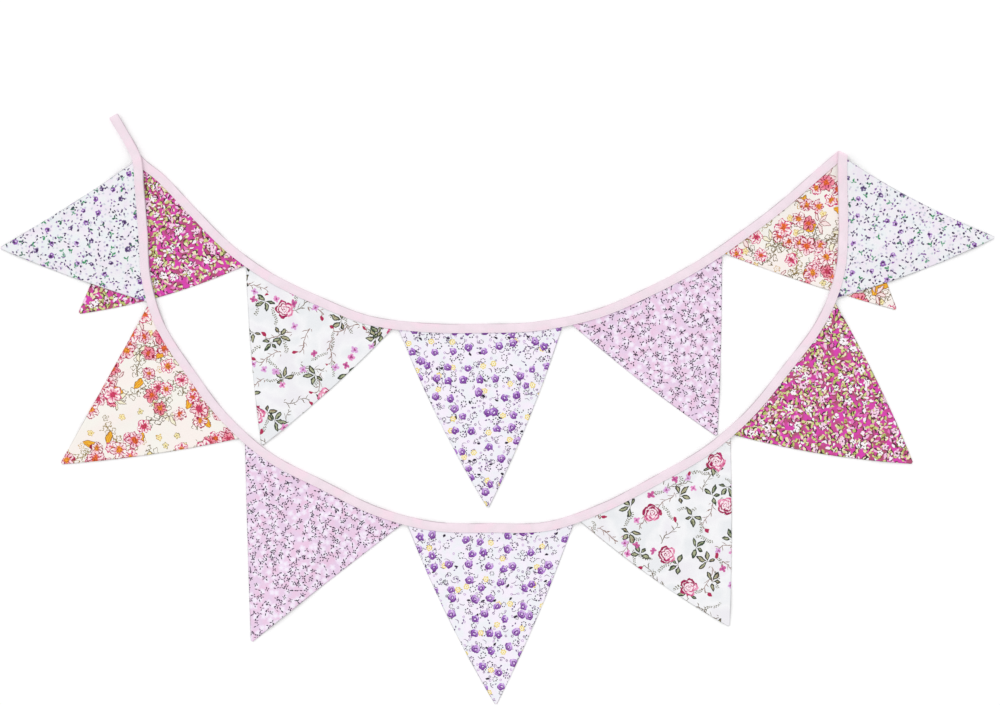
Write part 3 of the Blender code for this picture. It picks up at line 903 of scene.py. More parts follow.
def violet_print(cloth):
    colour = shaded(cloth.noise(56.0), VIOLET["ground"])
    drawn = by_hand(cloth, 0.0015, 240.0)
    faint, _, first, second, _ = scatter(drawn, 0.0066, 0.9, 51)
    speck = disc(faint, 0.0013, 0.0012) * some(second, 0.74)
    colour = colour.mix(chosen(first, VIOLET["speck"]), speck)

    spot, _, first, second, _ = scatter(drawn, 0.0176, 0.9, 52)
    green = fan(spot.turned(first * FULL_TURN), VIOLET_LEAVES).below(0.0, 0.0003)
    colour = colour.mix(chosen(second, VIOLET["leaf"]), green * some(second, 0.62))

    for seed, pitch, part, count, length, width in DASHES:
        spot, _, first, second, _ = scatter(drawn, pitch, 0.95, seed)
        turned = spot.turned(first * FULL_TURN)
        apart = whorl(turned, count) + (-0.0010, 0.0, 0.0) if count > 1 else turned
        dash = leaf(apart, length, width, 0.0003) * some(second, part)
        colour = colour.mix(chosen(second, VIOLET["dash"]), dash)

    spot, _, first, second, third = scatter(drawn, 0.0235, 0.9, 55)
    bud = spot.turned(first * FULL_TURN)
    shown = some(third, 0.72)
    body = petals(bud, 5, 0.0030 + 0.0010 * first, 0.24, 0.0008)
    colour = colour.mix(chosen(second, VIOLET["bud"]), body * shown)
    shade = disc(bud + (0.0010, 0.0, 0.0), 0.0015, 0.0008)
    colour = colour.mix(VIOLET["bud shade"], shade * shown)
    light = disc(bud + (-0.001, 0.0006, 0.0), 0.0010, 0.0006)
    return colour.mix(VIOLET["bud light"], light * shown)


cottons["violet"] = cotton("cotton_violet", violet_print)

# %% [markdown]
# ### The binding
#
# The tape is plain pale pink cotton, cut on the bias so that it follows curves: its threads run
# at 45 degrees to its edges. A soft unevenness of the dye changes its colour, and a thin line of
# painted shade darkens it along its folded edge.

# %% Pink bias cotton
DYE = ((0.3, ink(247, 223, 235)), (0.5, ink(240, 224, 233)), (0.7, ink(246, 228, 238)))
BIAS = math.radians(45)


def plain_pink(cloth):
    return shaded(cloth.noise(40.0), DYE)


cottons["tape"] = cotton("cotton_tape", plain_pink, bias=BIAS)

# %% [markdown]
# ## The tape's line
#
# The bunting was laid out by hand, so the tape curves gently: it sags towards the tip over each
# pennant, and it is folded over on itself at the upper right. Its middle line is a smooth curve
# through a few points, read by its length, as a tape measure would be laid along it.
# The folded tape is three layers thick where it holds a pennant and two in its tails, with a
# little air between the layers. A raw edge is tucked 9 mm deep into it, a usual seam allowance.
# All sizes from here on are in millimetres, and become metres when a mesh is made. Places are
# measured from a point near the middle of the ring, and the middle of the packed model is at
# TABLE_MIDDLE.

# %% Cloth and layers
TAPE_WIDTH = 12.0
HALF_TAPE = TAPE_WIDTH / 2
CLOTH = 1.0
CLEAR = 0.3
TUCK = 9.0
TUCK_TRIM = 4.0
TAIL_EASE = 10.0
TAIL_START = 1.0
FULL = 3 * CLOTH + 2 * CLEAR
PRESSED = 2 * CLOTH + CLEAR
MID_TAPE = FULL / 2
MID_CLOTH = CLOTH / 2
DESCENT = 16.0
TIP_WIDTH = 3.0
KNOT_SHARES = (0.16, 0.5, 0.84)
print("the tape is", FULL, "mm thick over a pennant and", PRESSED, "mm in its tails")

# %% The layout
TABLE_MIDDLE = np.array((0.23, -0.31, 0.0))
FOLD_POINT = np.array((446.0, 329.5))
FOLD_IN = math.radians(40.0)
FOLD_OUT = math.radians(-93.0)
CROSSING = (FOLD_IN - FOLD_OUT) / 2
FOLD_STRAIGHT = 22.0
FOLD_CENTRE_Z = FULL + CLEAR
FOLD_REACH = 6.0
CROSSING_END = (-459.0, 312.0)
RAMP = 40.0
MARGIN = 14.0
LOWER_TAIL = ((-499.1, 380.3), (-486.6, 359.5), (-474.1, 338.8), (-466.3, 323.4))
UPPER_TAIL = ((-467.3, 322.0), (-474.6, 338.6), (-486.0, 359.2), (-497.6, 379.6))

COLUMNS = ("name", "print", "start", "end", "tip", "sag", "bow_start", "bow_end")
PENNANTS = [
    dict(zip(COLUMNS, row))
    for row in (
        ("pennant_01", "magenta", (-460.6, 316.6), (-330.6, 183.3), (-543.0, 124.2), 2.0, 0.0, 8.0),
        ("pennant_02", "rose", (-327.5, 182.3), (-136.9, 99.5), (-305.5, -47.0), 7.0, 3.0, 4.5),
        ("pennant_03", "pansy", (-127.8, 101.0), (84.8, 103.4), (-12.1, -128.1), 4.0, 5.5, 5.0),
        ("pennant_04", "ditsy", (98.0, 106.0), (292.5, 198.0), (285.0, -34.5), 7.0, 3.5, 1.5),
        ("pennant_05", "blossom", (295.5, 201.5), (444.5, 321.0), (517.7, 129.4), 4.0, 3.0, 0.0),
        ("pennant_06", "violet", (456.5, 326.0), (446.0, 142.5), (645.7, 222.3), 4.0, -5.5, 5.0),
        ("pennant_07", "magenta", (443.6, 135.5), (309.5, -36.5), (539.1, -70.6), 4.0, 4.5, 6.0),
        ("pennant_08", "rose", (305.1, -41.0), (108.5, -149.0), (301.0, -282.2), 4.0, 2.0, 5.5),
        ("pennant_09", "pansy", (101.0, -156.0), (-117.4, -156.0), (-1.8, -384.0), 5.0, 4.0, 5.5),
        ("pennant_10", "ditsy", (-124.5, -154.4), (-331.5, -50.0), (-318.9, -302.1), 3.0, -1.0, 0.5),
        ("pennant_11", "blossom", (-337.4, -41.0), (-458.6, 132.5), (-566.3, -71.2), 6.0, 4.0, 0.0),
        ("pennant_12", "violet", (-459.5, 138.0), (-472.9, 319.5), (-645.2, 208.7), 0.0, 3.0, -2.0),
    )
]
UPPER_COUNT = 5
for number, pennant in enumerate(PENNANTS):
    pennant["upper"] = number < UPPER_COUNT
    for key in ("start", "end", "tip"):
        pennant[key] = np.array(pennant[key])
print(len(PENNANTS), "pennants,", UPPER_COUNT, "of them on the upper strand")


# %% A smooth line read by its length
def smooth(share):
    """0 up to 0, 1 from 1 on, and a soft step between."""
    share = np.clip(share, 0.0, 1.0)
    return share * share * (3 - 2 * share)


def direction(angle):
    return np.array((math.cos(angle), math.sin(angle)))


def left_of(heading):
    return np.stack((-heading[..., 1], heading[..., 0]), axis=-1)


class Strand:
    """The tape's middle line through a few points. It is read at many stations at once."""

    STEPS = 72
    TANGENT_REACH = 2.5
    SEARCH_STEP = 0.5

    def __init__(self, points):
        points = np.array(points, float)
        knots = np.vstack((2 * points[0] - points[1], points, 2 * points[-1] - points[-2]))
        share = (np.arange(self.STEPS) / self.STEPS)[:, None]
        line = []
        for before, first, last, after in zip(knots, knots[1:], knots[2:], knots[3:]):
            span = np.linalg.norm(last - first)
            leave = (last - before) * span / (span + np.linalg.norm(first - before))
            arrive = (after - first) * span / (span + np.linalg.norm(after - last))
            square, cube = share**2, share**3
            line.append(
                (2 * cube - 3 * square + 1) * first
                + (cube - 2 * square + share) * leave
                + (3 * square - 2 * cube) * last
                + (cube - square) * arrive
            )
        self.line = np.vstack((*line, points[-1]))
        steps = np.linalg.norm(np.diff(self.line, axis=0), axis=1)
        self.stations = np.concatenate(((0.0,), np.cumsum(steps)))
        self.length = self.stations[-1]

    def inside(self, station):
        """The place at a station between the two ends."""
        axes = [np.interp(station, self.stations, self.line[:, axis]) for axis in (0, 1)]
        return np.stack(axes, axis=-1)

    def heading(self, station):
        """The way the line runs there, taken over a few millimetres so that it turns softly."""
        reach = self.TANGENT_REACH
        low = np.clip(station - reach, 0.0, self.length - 2 * reach)
        step = self.inside(low + 2 * reach) - self.inside(low)
        return step / np.linalg.norm(step, axis=-1, keepdims=True)

    def point(self, station):
        """The place at a station. Past the ends the line goes straight on."""
        held = np.clip(station, 0.0, self.length)
        return self.inside(held) + (station - held)[..., None] * self.heading(held)

    def nearest(self, place):
        """The station where the line comes nearest to a place."""
        fine = np.arange(0.0, self.length, self.SEARCH_STEP)
        return fine[np.linalg.norm(self.inside(fine) - place, axis=1).argmin()]


def base_knots(pennant):
    """Three points of the tape's middle line over a pennant's base."""
    run = pennant["end"] - pennant["start"]
    towards_tip = -left_of(run / np.linalg.norm(run))
    if np.dot(towards_tip, pennant["tip"] - pennant["start"]) < 0:
        towards_tip = -towards_tip
    knots = []
    for share in KNOT_SHARES:
        below = 4 * share * (1 - share) * pennant["sag"] - HALF_TAPE
        knots.append(pennant["start"] + share * run + towards_tip * below)
    return knots


print("over each base the line goes through", len(KNOT_SHARES), "points")

# %% [markdown]
# ## The folded tape as a place to lay cloth
#
# A point of the tape is named by its station along, its distance across and its height. Laying it
# out means turning these three into a place. Past the diagonal crease the strip is turned over:
# its points go round a small half circle and come back one layer higher, with the other face up.


# %% The folded tape
class Tape:
    """The laid tape: it turns a station, a distance across and a level into a place."""

    def __init__(self):
        self.crease = direction((FOLD_IN + FOLD_OUT) / 2)
        self.beyond = left_of(self.crease)
        self.turn_length = math.pi * (FOLD_CENTRE_Z - MID_TAPE)
        self.slant = -1 / math.tan(CROSSING)
        upper_end = [FOLD_POINT - FOLD_STRAIGHT * direction(FOLD_IN), FOLD_POINT]
        folded_over = FOLD_POINT + self.turn_length * self.beyond
        lower_start = [folded_over, folded_over + FOLD_STRAIGHT * direction(FOLD_OUT)]
        upper_knots = [knot for pennant in PENNANTS[:UPPER_COUNT] for knot in base_knots(pennant)]
        lower_knots = [knot for pennant in PENNANTS[UPPER_COUNT:] for knot in base_knots(pennant)]
        self.upper = Strand([*LOWER_TAIL, *upper_knots[:-1], *upper_end])
        self.lower = Strand([*lower_start, *lower_knots[1:], *UPPER_TAIL])
        self.fold_station = self.upper.length
        self.length = self.upper.length + self.lower.length
        for pennant in PENNANTS:
            strand, before = self.lower, self.fold_station
            if pennant["upper"]:
                strand, before = self.upper, 0.0
            pennant["first"] = before + strand.nearest(pennant["start"])
            pennant["last"] = before + strand.nearest(pennant["end"])
        self.first = PENNANTS[0]["first"] - TAIL_START
        self.last = PENNANTS[-1]["last"] + TAIL_START

    def skew(self, station):
        """Sections near the diagonal fold lie along its crease."""
        away = abs(station - self.fold_station - self.turn_length / 2) - self.turn_length
        return self.slant * (1 - smooth(away / FOLD_STRAIGHT))

    def on_plan(self, station, across):
        """Plan places, and how far past the crease they are on the unfolded tape."""
        station, across = np.broadcast_arrays(np.asarray(station, float), np.asarray(across, float))
        station = station + self.skew(station) * across
        below = station - self.fold_station
        turned = below > 0
        heading = np.where(turned[..., None], self.lower.heading(below), self.upper.heading(station))
        middle = np.where(turned[..., None], self.lower.point(below), self.upper.point(station))
        side = np.where(turned, -across, across)[..., None]
        shift = middle + side * left_of(heading) - FOLD_POINT
        along, past = shift @ self.crease, shift @ self.beyond
        past = np.where(turned, self.turn_length - past, past)
        reach = np.minimum(np.minimum(past, self.turn_length - past), 0.0)
        return FOLD_POINT + along[..., None] * self.crease + reach[..., None] * self.beyond, past

    def height(self, station):
        """Full where the tape holds pennants, pressed flat in the tails."""
        into = np.minimum(station - self.first, self.last - station) + TAIL_EASE
        return PRESSED + (FULL - PRESSED) * smooth(into / TAIL_EASE)

    def place(self, station, across, level, lift):
        """Where points of the tape lie. level is measured up from its first face."""
        plan, past = self.on_plan(station, across)
        radius = FOLD_CENTRE_Z - level
        angle = math.pi * np.clip(past / self.turn_length, 0.0, 1.0)
        in_turn = (past > 0) & (past < self.turn_length)
        turned = plan + (radius * np.sin(angle))[..., None] * self.beyond
        z = np.where(past <= 0, level, lift + self.height(station) - level)
        z = np.where(in_turn, FOLD_CENTRE_Z - radius * np.cos(angle), z)
        return np.concatenate((np.where(in_turn[..., None], turned, plan), z[..., None]), axis=-1)


tape_line = Tape()
print("tape:", round(tape_line.length), "mm long")
print("folded", round(tape_line.fold_station), "mm from its lower end")

# %% [markdown]
# Where cloth lies on cloth it is carried: the lower strand lies on the upper one and on two of
# its pennants. It doesn't drop at their edge, because cloth bridges a small step in a soft ramp.
# Each thing underneath gives a height, and the fourth root of the sum of their fourth powers
# follows the highest of them without a crease where two of them meet.

# %% What lifts the cloth
SOFT_MAXIMUM = 4


def distance_to_line(places, first, last):
    """How far plan places are from the straight line between two points."""
    first, last = np.array(first), np.array(last)
    run = last - first
    share = np.clip((places - first) @ run / np.dot(run, run), 0.0, 1.0)
    return np.linalg.norm(places - first - share[..., None] * run, axis=-1)


def depth_inside(places, pennant):
    """How far inside the pennant's triangle, with its swelling sides, plan places are."""
    corners = [pennant[key] for key in ("start", "end", "tip")]
    middle = sum(corners) / 3
    swell = (HALF_TAPE, max(pennant["bow_end"], 0.0), max(pennant["bow_start"], 0.0))
    depths = []
    for first, last, bow in zip(corners, corners[1:] + corners[:1], swell):
        inwards = left_of((last - first) / np.linalg.norm(last - first))
        if np.dot(inwards, middle - first) < 0:
            inwards = -inwards
        depths.append((places - first) @ inwards + bow)
    return np.minimum.reduce(depths)


def carried(places):
    """How high the lower strand and its pennants are carried by what lies under them."""
    under = (PENNANTS[0], PENNANTS[UPPER_COUNT - 1])
    bars = (
        # height, one end, other end
        (FULL + 2 * CLEAR, FOLD_POINT, FOLD_POINT + FOLD_REACH * direction(FOLD_OUT)),
        (FULL + CLEAR, LOWER_TAIL[-1], CROSSING_END),
        (PRESSED + CLEAR, LOWER_TAIL[0], LOWER_TAIL[-1]),
    )
    parts = []
    for pennant in under:
        depth = depth_inside(places, pennant)
        parts.append((CLOTH + CLEAR) * smooth((depth + MARGIN + RAMP) / RAMP))
    for height, first, last in bars:
        parts.append(height * smooth(1 - (distance_to_line(places, first, last) - MARGIN) / RAMP))
    return sum(part**SOFT_MAXIMUM for part in parts) ** (1 / SOFT_MAXIMUM)


print("carried at the fold:", round(float(carried(FOLD_POINT)), 2), "mm")

# %% [markdown]
# ## Laying a pennant
#
# A pennant is two triangles sewn right sides together, turned and pressed. Pressed cloth isn't
# flat: the seam allowance inside makes a band about 7 mm wide along both sides a little thicker,
# the edge itself is rounded, and the stitches draw the band into tiny puckers.
# The sheet is a grid of columns and rows. The columns crowd towards the sides, to shape that
# edge, and the heights follow the plain solid, so the sheet stays where the model has it.
# Each corner of a face gets two coordinates: its place on the cloth, for the print and the weave,
# and how far the edge is, for the thin line of painted shade along a pressed edge.

# %% Ripples and edges
EDGE_ROUND = 0.5
WAVES = 5
WAVE_SPREAD = (0.7, 1.5)
RIDGES = {
    # pennant: (across, down, across, down, height, half width)
    "pennant_02": (0.25, 0.15, 0.60, 0.85, 1.4, 32.0),
    "pennant_03": (0.80, 0.10, 0.55, 0.80, 1.0, 30.0),
    "pennant_04": (0.50, 0.12, 0.85, 0.70, 1.3, 34.0),
    "pennant_06": (0.70, 0.15, 0.60, 0.85, 1.6, 34.0),
    "pennant_07": (0.30, 0.12, 0.65, 0.80, 1.2, 30.0),
    "pennant_08": (0.65, 0.15, 0.30, 0.85, 1.7, 34.0),
    "pennant_10": (0.35, 0.12, 0.20, 0.80, 2.0, 36.0),
    "pennant_11": (0.60, 0.10, 0.75, 0.75, 1.2, 32.0),
    "pennant_12": (0.35, 0.20, 0.45, 0.85, 1.4, 32.0),
}


def ripples(x, y, wavelength, seed):
    """A soft unevenness from -1 to 1: a few waves in random directions."""
    rng = np.random.default_rng(seed)
    total = np.zeros_like(x)
    for _ in range(WAVES):
        angle, phase = rng.uniform(0.0, FULL_TURN, 2)
        length = wavelength * rng.uniform(*WAVE_SPREAD)
        total += np.sin(FULL_TURN * (x * math.cos(angle) + y * math.sin(angle)) / length + phase)
    return total / WAVES


def rounded(distance):
    """From 0 at an edge to 1 inside, along a quarter of a circle."""
    return np.sqrt(1 - (1 - np.clip(distance / EDGE_ROUND, 0.0, 1.0)) ** 2)


def finished(name, points, faces, uvs, edges, cloth):
    """A smooth mesh object. Points, cloth coordinates and distances to the edge are in mm."""
    mesh = bpy.data.meshes.new(name)
    mesh.from_pydata(((points - TABLE_MIDDLE) * MM).tolist(), [], faces.tolist())
    mesh.uv_layers.new(name="cloth").data.foreach_set("uv", (uvs * MM).ravel())
    far = np.stack((edges, 0 * edges), axis=-1)
    mesh.uv_layers.new(name="edge").data.foreach_set("uv", (far * MM).ravel())
    mesh.materials.append(cottons[cloth])
    mesh.shade_smooth()
    piece = bpy.data.objects.new(name, mesh)
    scene.collection.objects.link(piece)
    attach(piece, "root")
    return piece


print(len(RIDGES), "pennants get a soft ridge")


# %% The outline of one pennant
class Cut:
    """One pennant's outline in plan, from its corners at the tape down to its blunt tip."""

    def __init__(self, pennant):
        self.pennant, tip = pennant, pennant["tip"]
        self.first, self.last = pennant["first"], pennant["last"]
        corners, _ = tape_line.on_plan(np.array((self.first, self.last)), -HALF_TAPE)
        self.corner_start, self.corner_end = corners
        self.base = self.corner_end - self.corner_start
        self.along = self.base / np.linalg.norm(self.base)
        self.to_tip = tip - self.corner_start
        self.drop = abs(self.along[0] * self.to_tip[1] - self.along[1] * self.to_tip[0])
        self.ends = (tip - self.along * TIP_WIDTH / 2, tip + self.along * TIP_WIDTH / 2)
        self.middle = (self.corner_start + self.corner_end + tip) / 3

    def side(self, corner, end, bow, down):
        """One sloping side, from its corner down. A bow swells it, and less than 0 hollows it."""
        outwards = left_of((end - corner) / np.linalg.norm(end - corner))
        if np.dot(outwards, self.middle - corner) > 0:
            outwards = -outwards
        return corner + down * (end - corner) + outwards * 4 * bow * down * (1 - down)

    def between(self, across, down):
        """Plan places by their share of the way across and of the way down."""
        across, down = np.asarray(across)[..., None], np.asarray(down)[..., None]
        left = self.side(self.corner_start, self.ends[0], self.pennant["bow_start"], down)
        right = self.side(self.corner_end, self.ends[1], self.pennant["bow_end"], down)
        return left + across * (right - left)


cuts = [Cut(pennant) for pennant in PENNANTS]
print("from the tape down to the tip:", [round(cut.drop) for cut in cuts], "mm")

# %% [markdown]
# A grid of rows and columns fits a triangle well when each row has the same number of points and
# the rows get shorter towards the tip. Close to an edge the points stand fractions of a
# millimetre apart, because the rounded edge is only half a millimetre wide. Inside, columns up to
# 5 mm apart are enough for the soft ridges.

# %% The grid of one pennant
ROW_STEP = 2.2
TUCKED_ROWS = np.array((1.0, 0.97, 0.6, 0.2))
MIDDLE_COLUMNS = 38
EDGE_STEPS = np.array((0.0, 0.12, 0.32, 0.6, 1.1, 2.0, 3.4, 5.0, 6.4, 7.4, 9.0))
END_STEPS = np.array((1.2, 0.6, 0.32, 0.12, 0.0))
END_REACH = 2.0
EDGE_SHARE = 2.3


def grid(cut):
    """Shares across and down, depth in the tape, and distances to the side and to the end."""
    # Rows: four tucked in the tape, then down to the tip, with the last ones close together
    tucked = TUCK * TUCKED_ROWS
    even = np.linspace(0.0, 1 - END_REACH / cut.drop, int(cut.drop / ROW_STEP))
    downs = np.concatenate((even, 1 - END_STEPS / cut.drop))
    down = np.concatenate((np.zeros(len(tucked)), downs))[:, None]
    depth = np.concatenate((tucked, np.zeros(len(downs))))[:, None]

    # Columns: fixed steps in from both sides, narrower near the tip, and even ones between
    run = cut.between(1.0, down[:, 0]) - cut.between(0.0, down[:, 0])
    width = np.linalg.norm(run, axis=-1)[:, None]
    steps = EDGE_STEPS * np.minimum(1.0, width / (EDGE_SHARE * EDGE_STEPS[-1]))
    inner = steps[:, -1:] / width
    middle = inner + (1 - 2 * inner) * (np.arange(1, MIDDLE_COLUMNS) / MIDDLE_COLUMNS)
    across = np.hstack((steps / width, middle, 1 - steps[:, ::-1] / width))
    to_side = np.minimum(across, 1 - across) * width
    to_end = np.minimum((1 - down) * cut.drop, TUCK - depth + (down > 0) * TUCK)
    return across, down, depth, to_side, to_end


print("the grid of the first pennant:", grid(cuts[0])[0].shape, "rows and columns")

# %% [markdown]
# The cloth leaves the tape half way up its thickness and comes down to the table within 16 mm.
# A pennant of the lower strand stays as high as what it lies on. Handled cotton also keeps a
# broad, low ridge, where it was folded or stored. It is a bump along a line, and a slow ripple
# over the whole pennant goes with it.

# %% Its place on the table
SWELL = 0.22
SWELL_LENGTH = 70.0


def plan_of(cut, across, down, depth):
    """Plan places: the raw edge is trimmed at both ends, and the base follows the tape's curve."""
    stations = cut.first + across * (cut.last - cut.first)
    trimmed = cut.first + TUCK_TRIM + across * (cut.last - cut.first - 2 * TUCK_TRIM)
    on_tape, _ = tape_line.on_plan(stations, -HALF_TAPE)
    raw_edge, _ = tape_line.on_plan(trimmed, TUCK - HALF_TAPE)
    curve = on_tape - (cut.corner_start + across[..., None] * cut.base)
    flat = cut.between(across, np.broadcast_to(down, across.shape))
    flat = flat + curve * ((1 - down) ** 3)[..., None]
    held = stations + (depth / TUCK) * (trimmed - stations)
    return flat + (depth / TUCK)[..., None] * (raw_edge - on_tape), held


def height_of(cut, number, plan, down, held):
    """Heights, out of the tape and down to the table, and how much of that way is done."""
    fallen = smooth(down * cut.drop / DESCENT)
    height = MID_TAPE + (MID_CLOTH - MID_TAPE) * fallen
    if not cut.pennant["upper"]:
        at_tape = carried(tape_line.on_plan(held, 0.0)[0])
        height = height + at_tape + (carried(plan) - at_tape) * smooth(down * cut.drop / RAMP)
    ridge = RIDGES.get(cut.pennant["name"])
    if ridge:
        from_across, from_down, to_across, to_down, rise, half_width = ridge
        crest = cut.between(from_across, from_down), cut.between(to_across, to_down)
        away = distance_to_line(plan, *crest)
        height = height + fallen * rise * (1 - np.minimum(away / half_width, 1.0) ** 2) ** 2
        swell = 1 + ripples(plan[..., 0], plan[..., 1], SWELL_LENGTH, number)
        height = height + fallen * SWELL * swell
    return height, fallen


print("ridges rise by up to", max(ridge[4] for ridge in RIDGES.values()), "mm")

# %% [markdown]
# The sheet is closed: its top and its underside are the same grid at two heights, and share the
# points of their outline. Both are cut from a bolt of printed cotton. Every piece is moved to
# another part of the bolt, so that no two pennants, nor the two faces of one, look the same.

# %% Its two faces
PRINT_SHIFT = np.array((370.0, 230.0))
BACK_SHIFT = np.array((515.0, 160.0))


def quads(index, flipped):
    corners = (index[:-1, :-1], index[:-1, 1:], index[1:, 1:], index[1:, :-1])
    return np.stack(corners[::-1] if flipped else corners, axis=-1).reshape(-1, 4)


def closed_sheet(tops, bottoms, clockwise):
    """Points and faces, and for each corner of a face its point of the grid."""
    rows, columns, _ = tops.shape
    top = np.arange(rows * columns).reshape(rows, columns)
    bottom = top + rows * columns
    rim = np.zeros((rows, columns), bool)
    rim[0], rim[-1], rim[:, 0], rim[:, -1] = True, True, True, True
    bottom[rim] = top[rim]
    used = np.concatenate((np.ones(top.size, bool), ~rim.ravel()))
    renumber = np.cumsum(used) - 1
    points = np.vstack((tops.reshape(-1, 3), bottoms.reshape(-1, 3)))[used]
    faces = np.vstack((quads(top, clockwise), quads(bottom, not clockwise)))
    return points, renumber[faces], faces % (rows * columns)


def on_the_bolt(cut, number, plan):
    """Cloth coordinates of the grid on both faces, with the threads along the base."""
    turn = np.array(((cut.along[0], cut.along[1]), (cut.along[1], -cut.along[0])))
    if turn[1] @ cut.to_tip < 0:
        turn[1] = -turn[1]
    own = (plan - (cut.corner_start + cut.corner_end) / 2) @ turn.T * (1, -1)
    front = own + PRINT_SHIFT * number
    back = front * (-1, 1) + BACK_SHIFT
    return front.reshape(-1, 2), back.reshape(-1, 2)


print("each pennant lies", PRINT_SHIFT, "mm further on the bolt")

# %% Sewing and laying all twelve
SEAM_BAND = 7.0
SEAM_EXTRA = 0.09
BAND_EDGE = 1.6
PUCKER = 0.1
PUCKER_REACH = 4.0
PUCKER_LENGTH = 9.0
PUCKER_SEEDS = 100


def lay_pennant(cut, number):
    across, down, depth, to_side, to_end = grid(cut)
    plan, held = plan_of(cut, across, down, depth)
    height, fallen = height_of(cut, number, plan, down, held)

    # Thickness: rounded edges, a seam band and its puckers, which show on the upper face
    shape = rounded(to_side) * rounded(to_end)
    band = 1 - smooth((to_side - SEAM_BAND + BAND_EDGE / 2) / BAND_EDGE)
    waves = ripples(plan[..., 0], plan[..., 1], PUCKER_LENGTH, PUCKER_SEEDS + number)
    pucker = np.exp(-to_side / PUCKER_REACH) * waves
    extra = fallen * (SEAM_EXTRA * band + PUCKER * pucker * np.minimum(to_side, 1.0))
    tops = np.dstack((plan, height + MID_CLOTH * shape + extra * shape))
    bottoms = np.dstack((plan, height - MID_CLOTH * shape))

    clockwise = np.cross(cut.base, cut.to_tip) < 0
    points, faces, corners = closed_sheet(tops, bottoms, clockwise)
    front, back = on_the_bolt(cut, number, plan)
    half = len(faces) // 2
    uvs = np.vstack((front[corners[:half]], back[corners[half:]]))
    # Distances to the sloping sides, where the cotton paints its thin line of shade
    edges = to_side.ravel()[corners].ravel()
    name = cut.pennant["name"]
    piece = finished(name + "_cloth", points, faces, uvs, edges, cut.pennant["print"])
    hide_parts(name)
    wide, long = np.linalg.norm(cut.base) * MM, (cut.drop + TUCK) * MM
    return piece, wide, long, (wide * cut.drop * MM / 2 + wide * TUCK * MM)


cloths = [lay_pennant(cut, number) for number, cut in enumerate(cuts, 1)]
for piece, wide, long, _ in cloths:
    size = f"{wide / MM:.0f} x {long / MM:.0f} mm"
    print(piece.name, "cut", size, "with", len(piece.data.polygons), "faces")

# %% [markdown]
# ## The binding tape
#
# The tape is one strip, folded in half over the pennants' raw edges. Its cross-section is a U
# lying on its side. The open edges are turned in and slightly rounded, and a shallow groove
# marks the line where the machine stitches pull both layers together. The section is a short
# table, repeated every 2 mm along the tape and closer together at the diagonal fold.

# %% The tape's section, laid along its line
SECTION = (
    # outer across, outer level, inner across, inner level, share of the rise to the middle
    (-6.00, 0.50, -5.99, 0.62, 0.0),
    (-5.93, 0.20, -5.93, 0.84, 0.0),
    (-5.70, 0.04, -5.70, 0.97, 0.0),
    (-5.30, 0.00, -5.30, 1.00, 0.0),
    (-4.80, 0.00, -4.80, 1.00, 0.0),
    (-4.40, 0.12, -4.40, 1.00, 0.0),
    (-4.00, 0.00, -4.00, 1.00, 0.0),
    (-2.00, 0.00, -2.00, 1.00, 0.0),
    (0.00, 0.00, 0.00, 1.00, 0.0),
    (2.00, 0.00, 2.00, 1.00, 0.0),
    (3.90, 0.00, 3.60, 1.00, 0.0),
    (4.85, 0.05, 4.40, 1.00, 0.1),
    (5.50, 0.28, 4.80, 1.00, 0.35),
    (5.87, 0.65, 4.95, 1.00, 0.6),
    (6.00, 1.05, 5.00, 1.00, 0.9),
)
SECTION_STEP = 2.1
TURN_STEP = 0.7
BEFORE_TURN = 12.0
AFTER_TURN = 16.0
WAVER = 0.16
WAVER_LENGTH = 37.0
WAVER_SEED = 7
SHORTEST = 1e-9


def tape_marks():
    """Stations of the sections: even ones, and closer ones round the diagonal fold."""
    start = tape_line.fold_station - BEFORE_TURN
    end = tape_line.fold_station + tape_line.turn_length + AFTER_TURN
    stretches = (
        (0.0, start, SECTION_STEP),
        (start, end, TURN_STEP),
        (end, tape_line.length, SECTION_STEP),
    )
    marks = []
    for first, last, step in stretches:
        marks.append(np.linspace(first, last, math.ceil((last - first) / step) + 1)[:-1])
    return np.concatenate((*marks, (tape_line.length,)))


def section_at(marks):
    """Across and level of the points round the section, at each station."""
    table = np.array(SECTION)
    thick = tape_line.height(marks)[:, None]
    rise = table[:, 4] * (thick / 2 - CLOTH)
    outer = np.hstack((table[:, 1] + 0 * thick, thick - table[::-1, 1]))
    inner = np.hstack((table[:, 3] + rise, thick - (table[:, 3] + rise)[:, ::-1]))
    level = np.hstack((outer, inner[:, ::-1]))
    across = np.concatenate((table[:, 0], table[::-1, 0], table[:, 2], table[::-1, 2]))
    return np.broadcast_to(across, level.shape), level


def strip_faces(sections, around):
    """Faces from each section to the next, and caps that close the two ends."""
    index = np.arange(sections * around).reshape(sections, around)
    beside = np.roll(index, -1, axis=1)
    sides = np.stack((index[:-1], beside[:-1], beside[1:], index[1:]), axis=-1).reshape(-1, 4)
    half = around // 2
    low, high = np.arange(half - 1), np.arange(1, half)
    cap = np.stack((low, around - 1 - low, around - 1 - high, high), axis=-1)
    caps = np.vstack((cap, (cap + (sections - 1) * around)[:, ::-1]))
    return np.vstack((sides, caps))


print("the tape has", len(tape_marks()), "sections of", 4 * len(SECTION), "points")


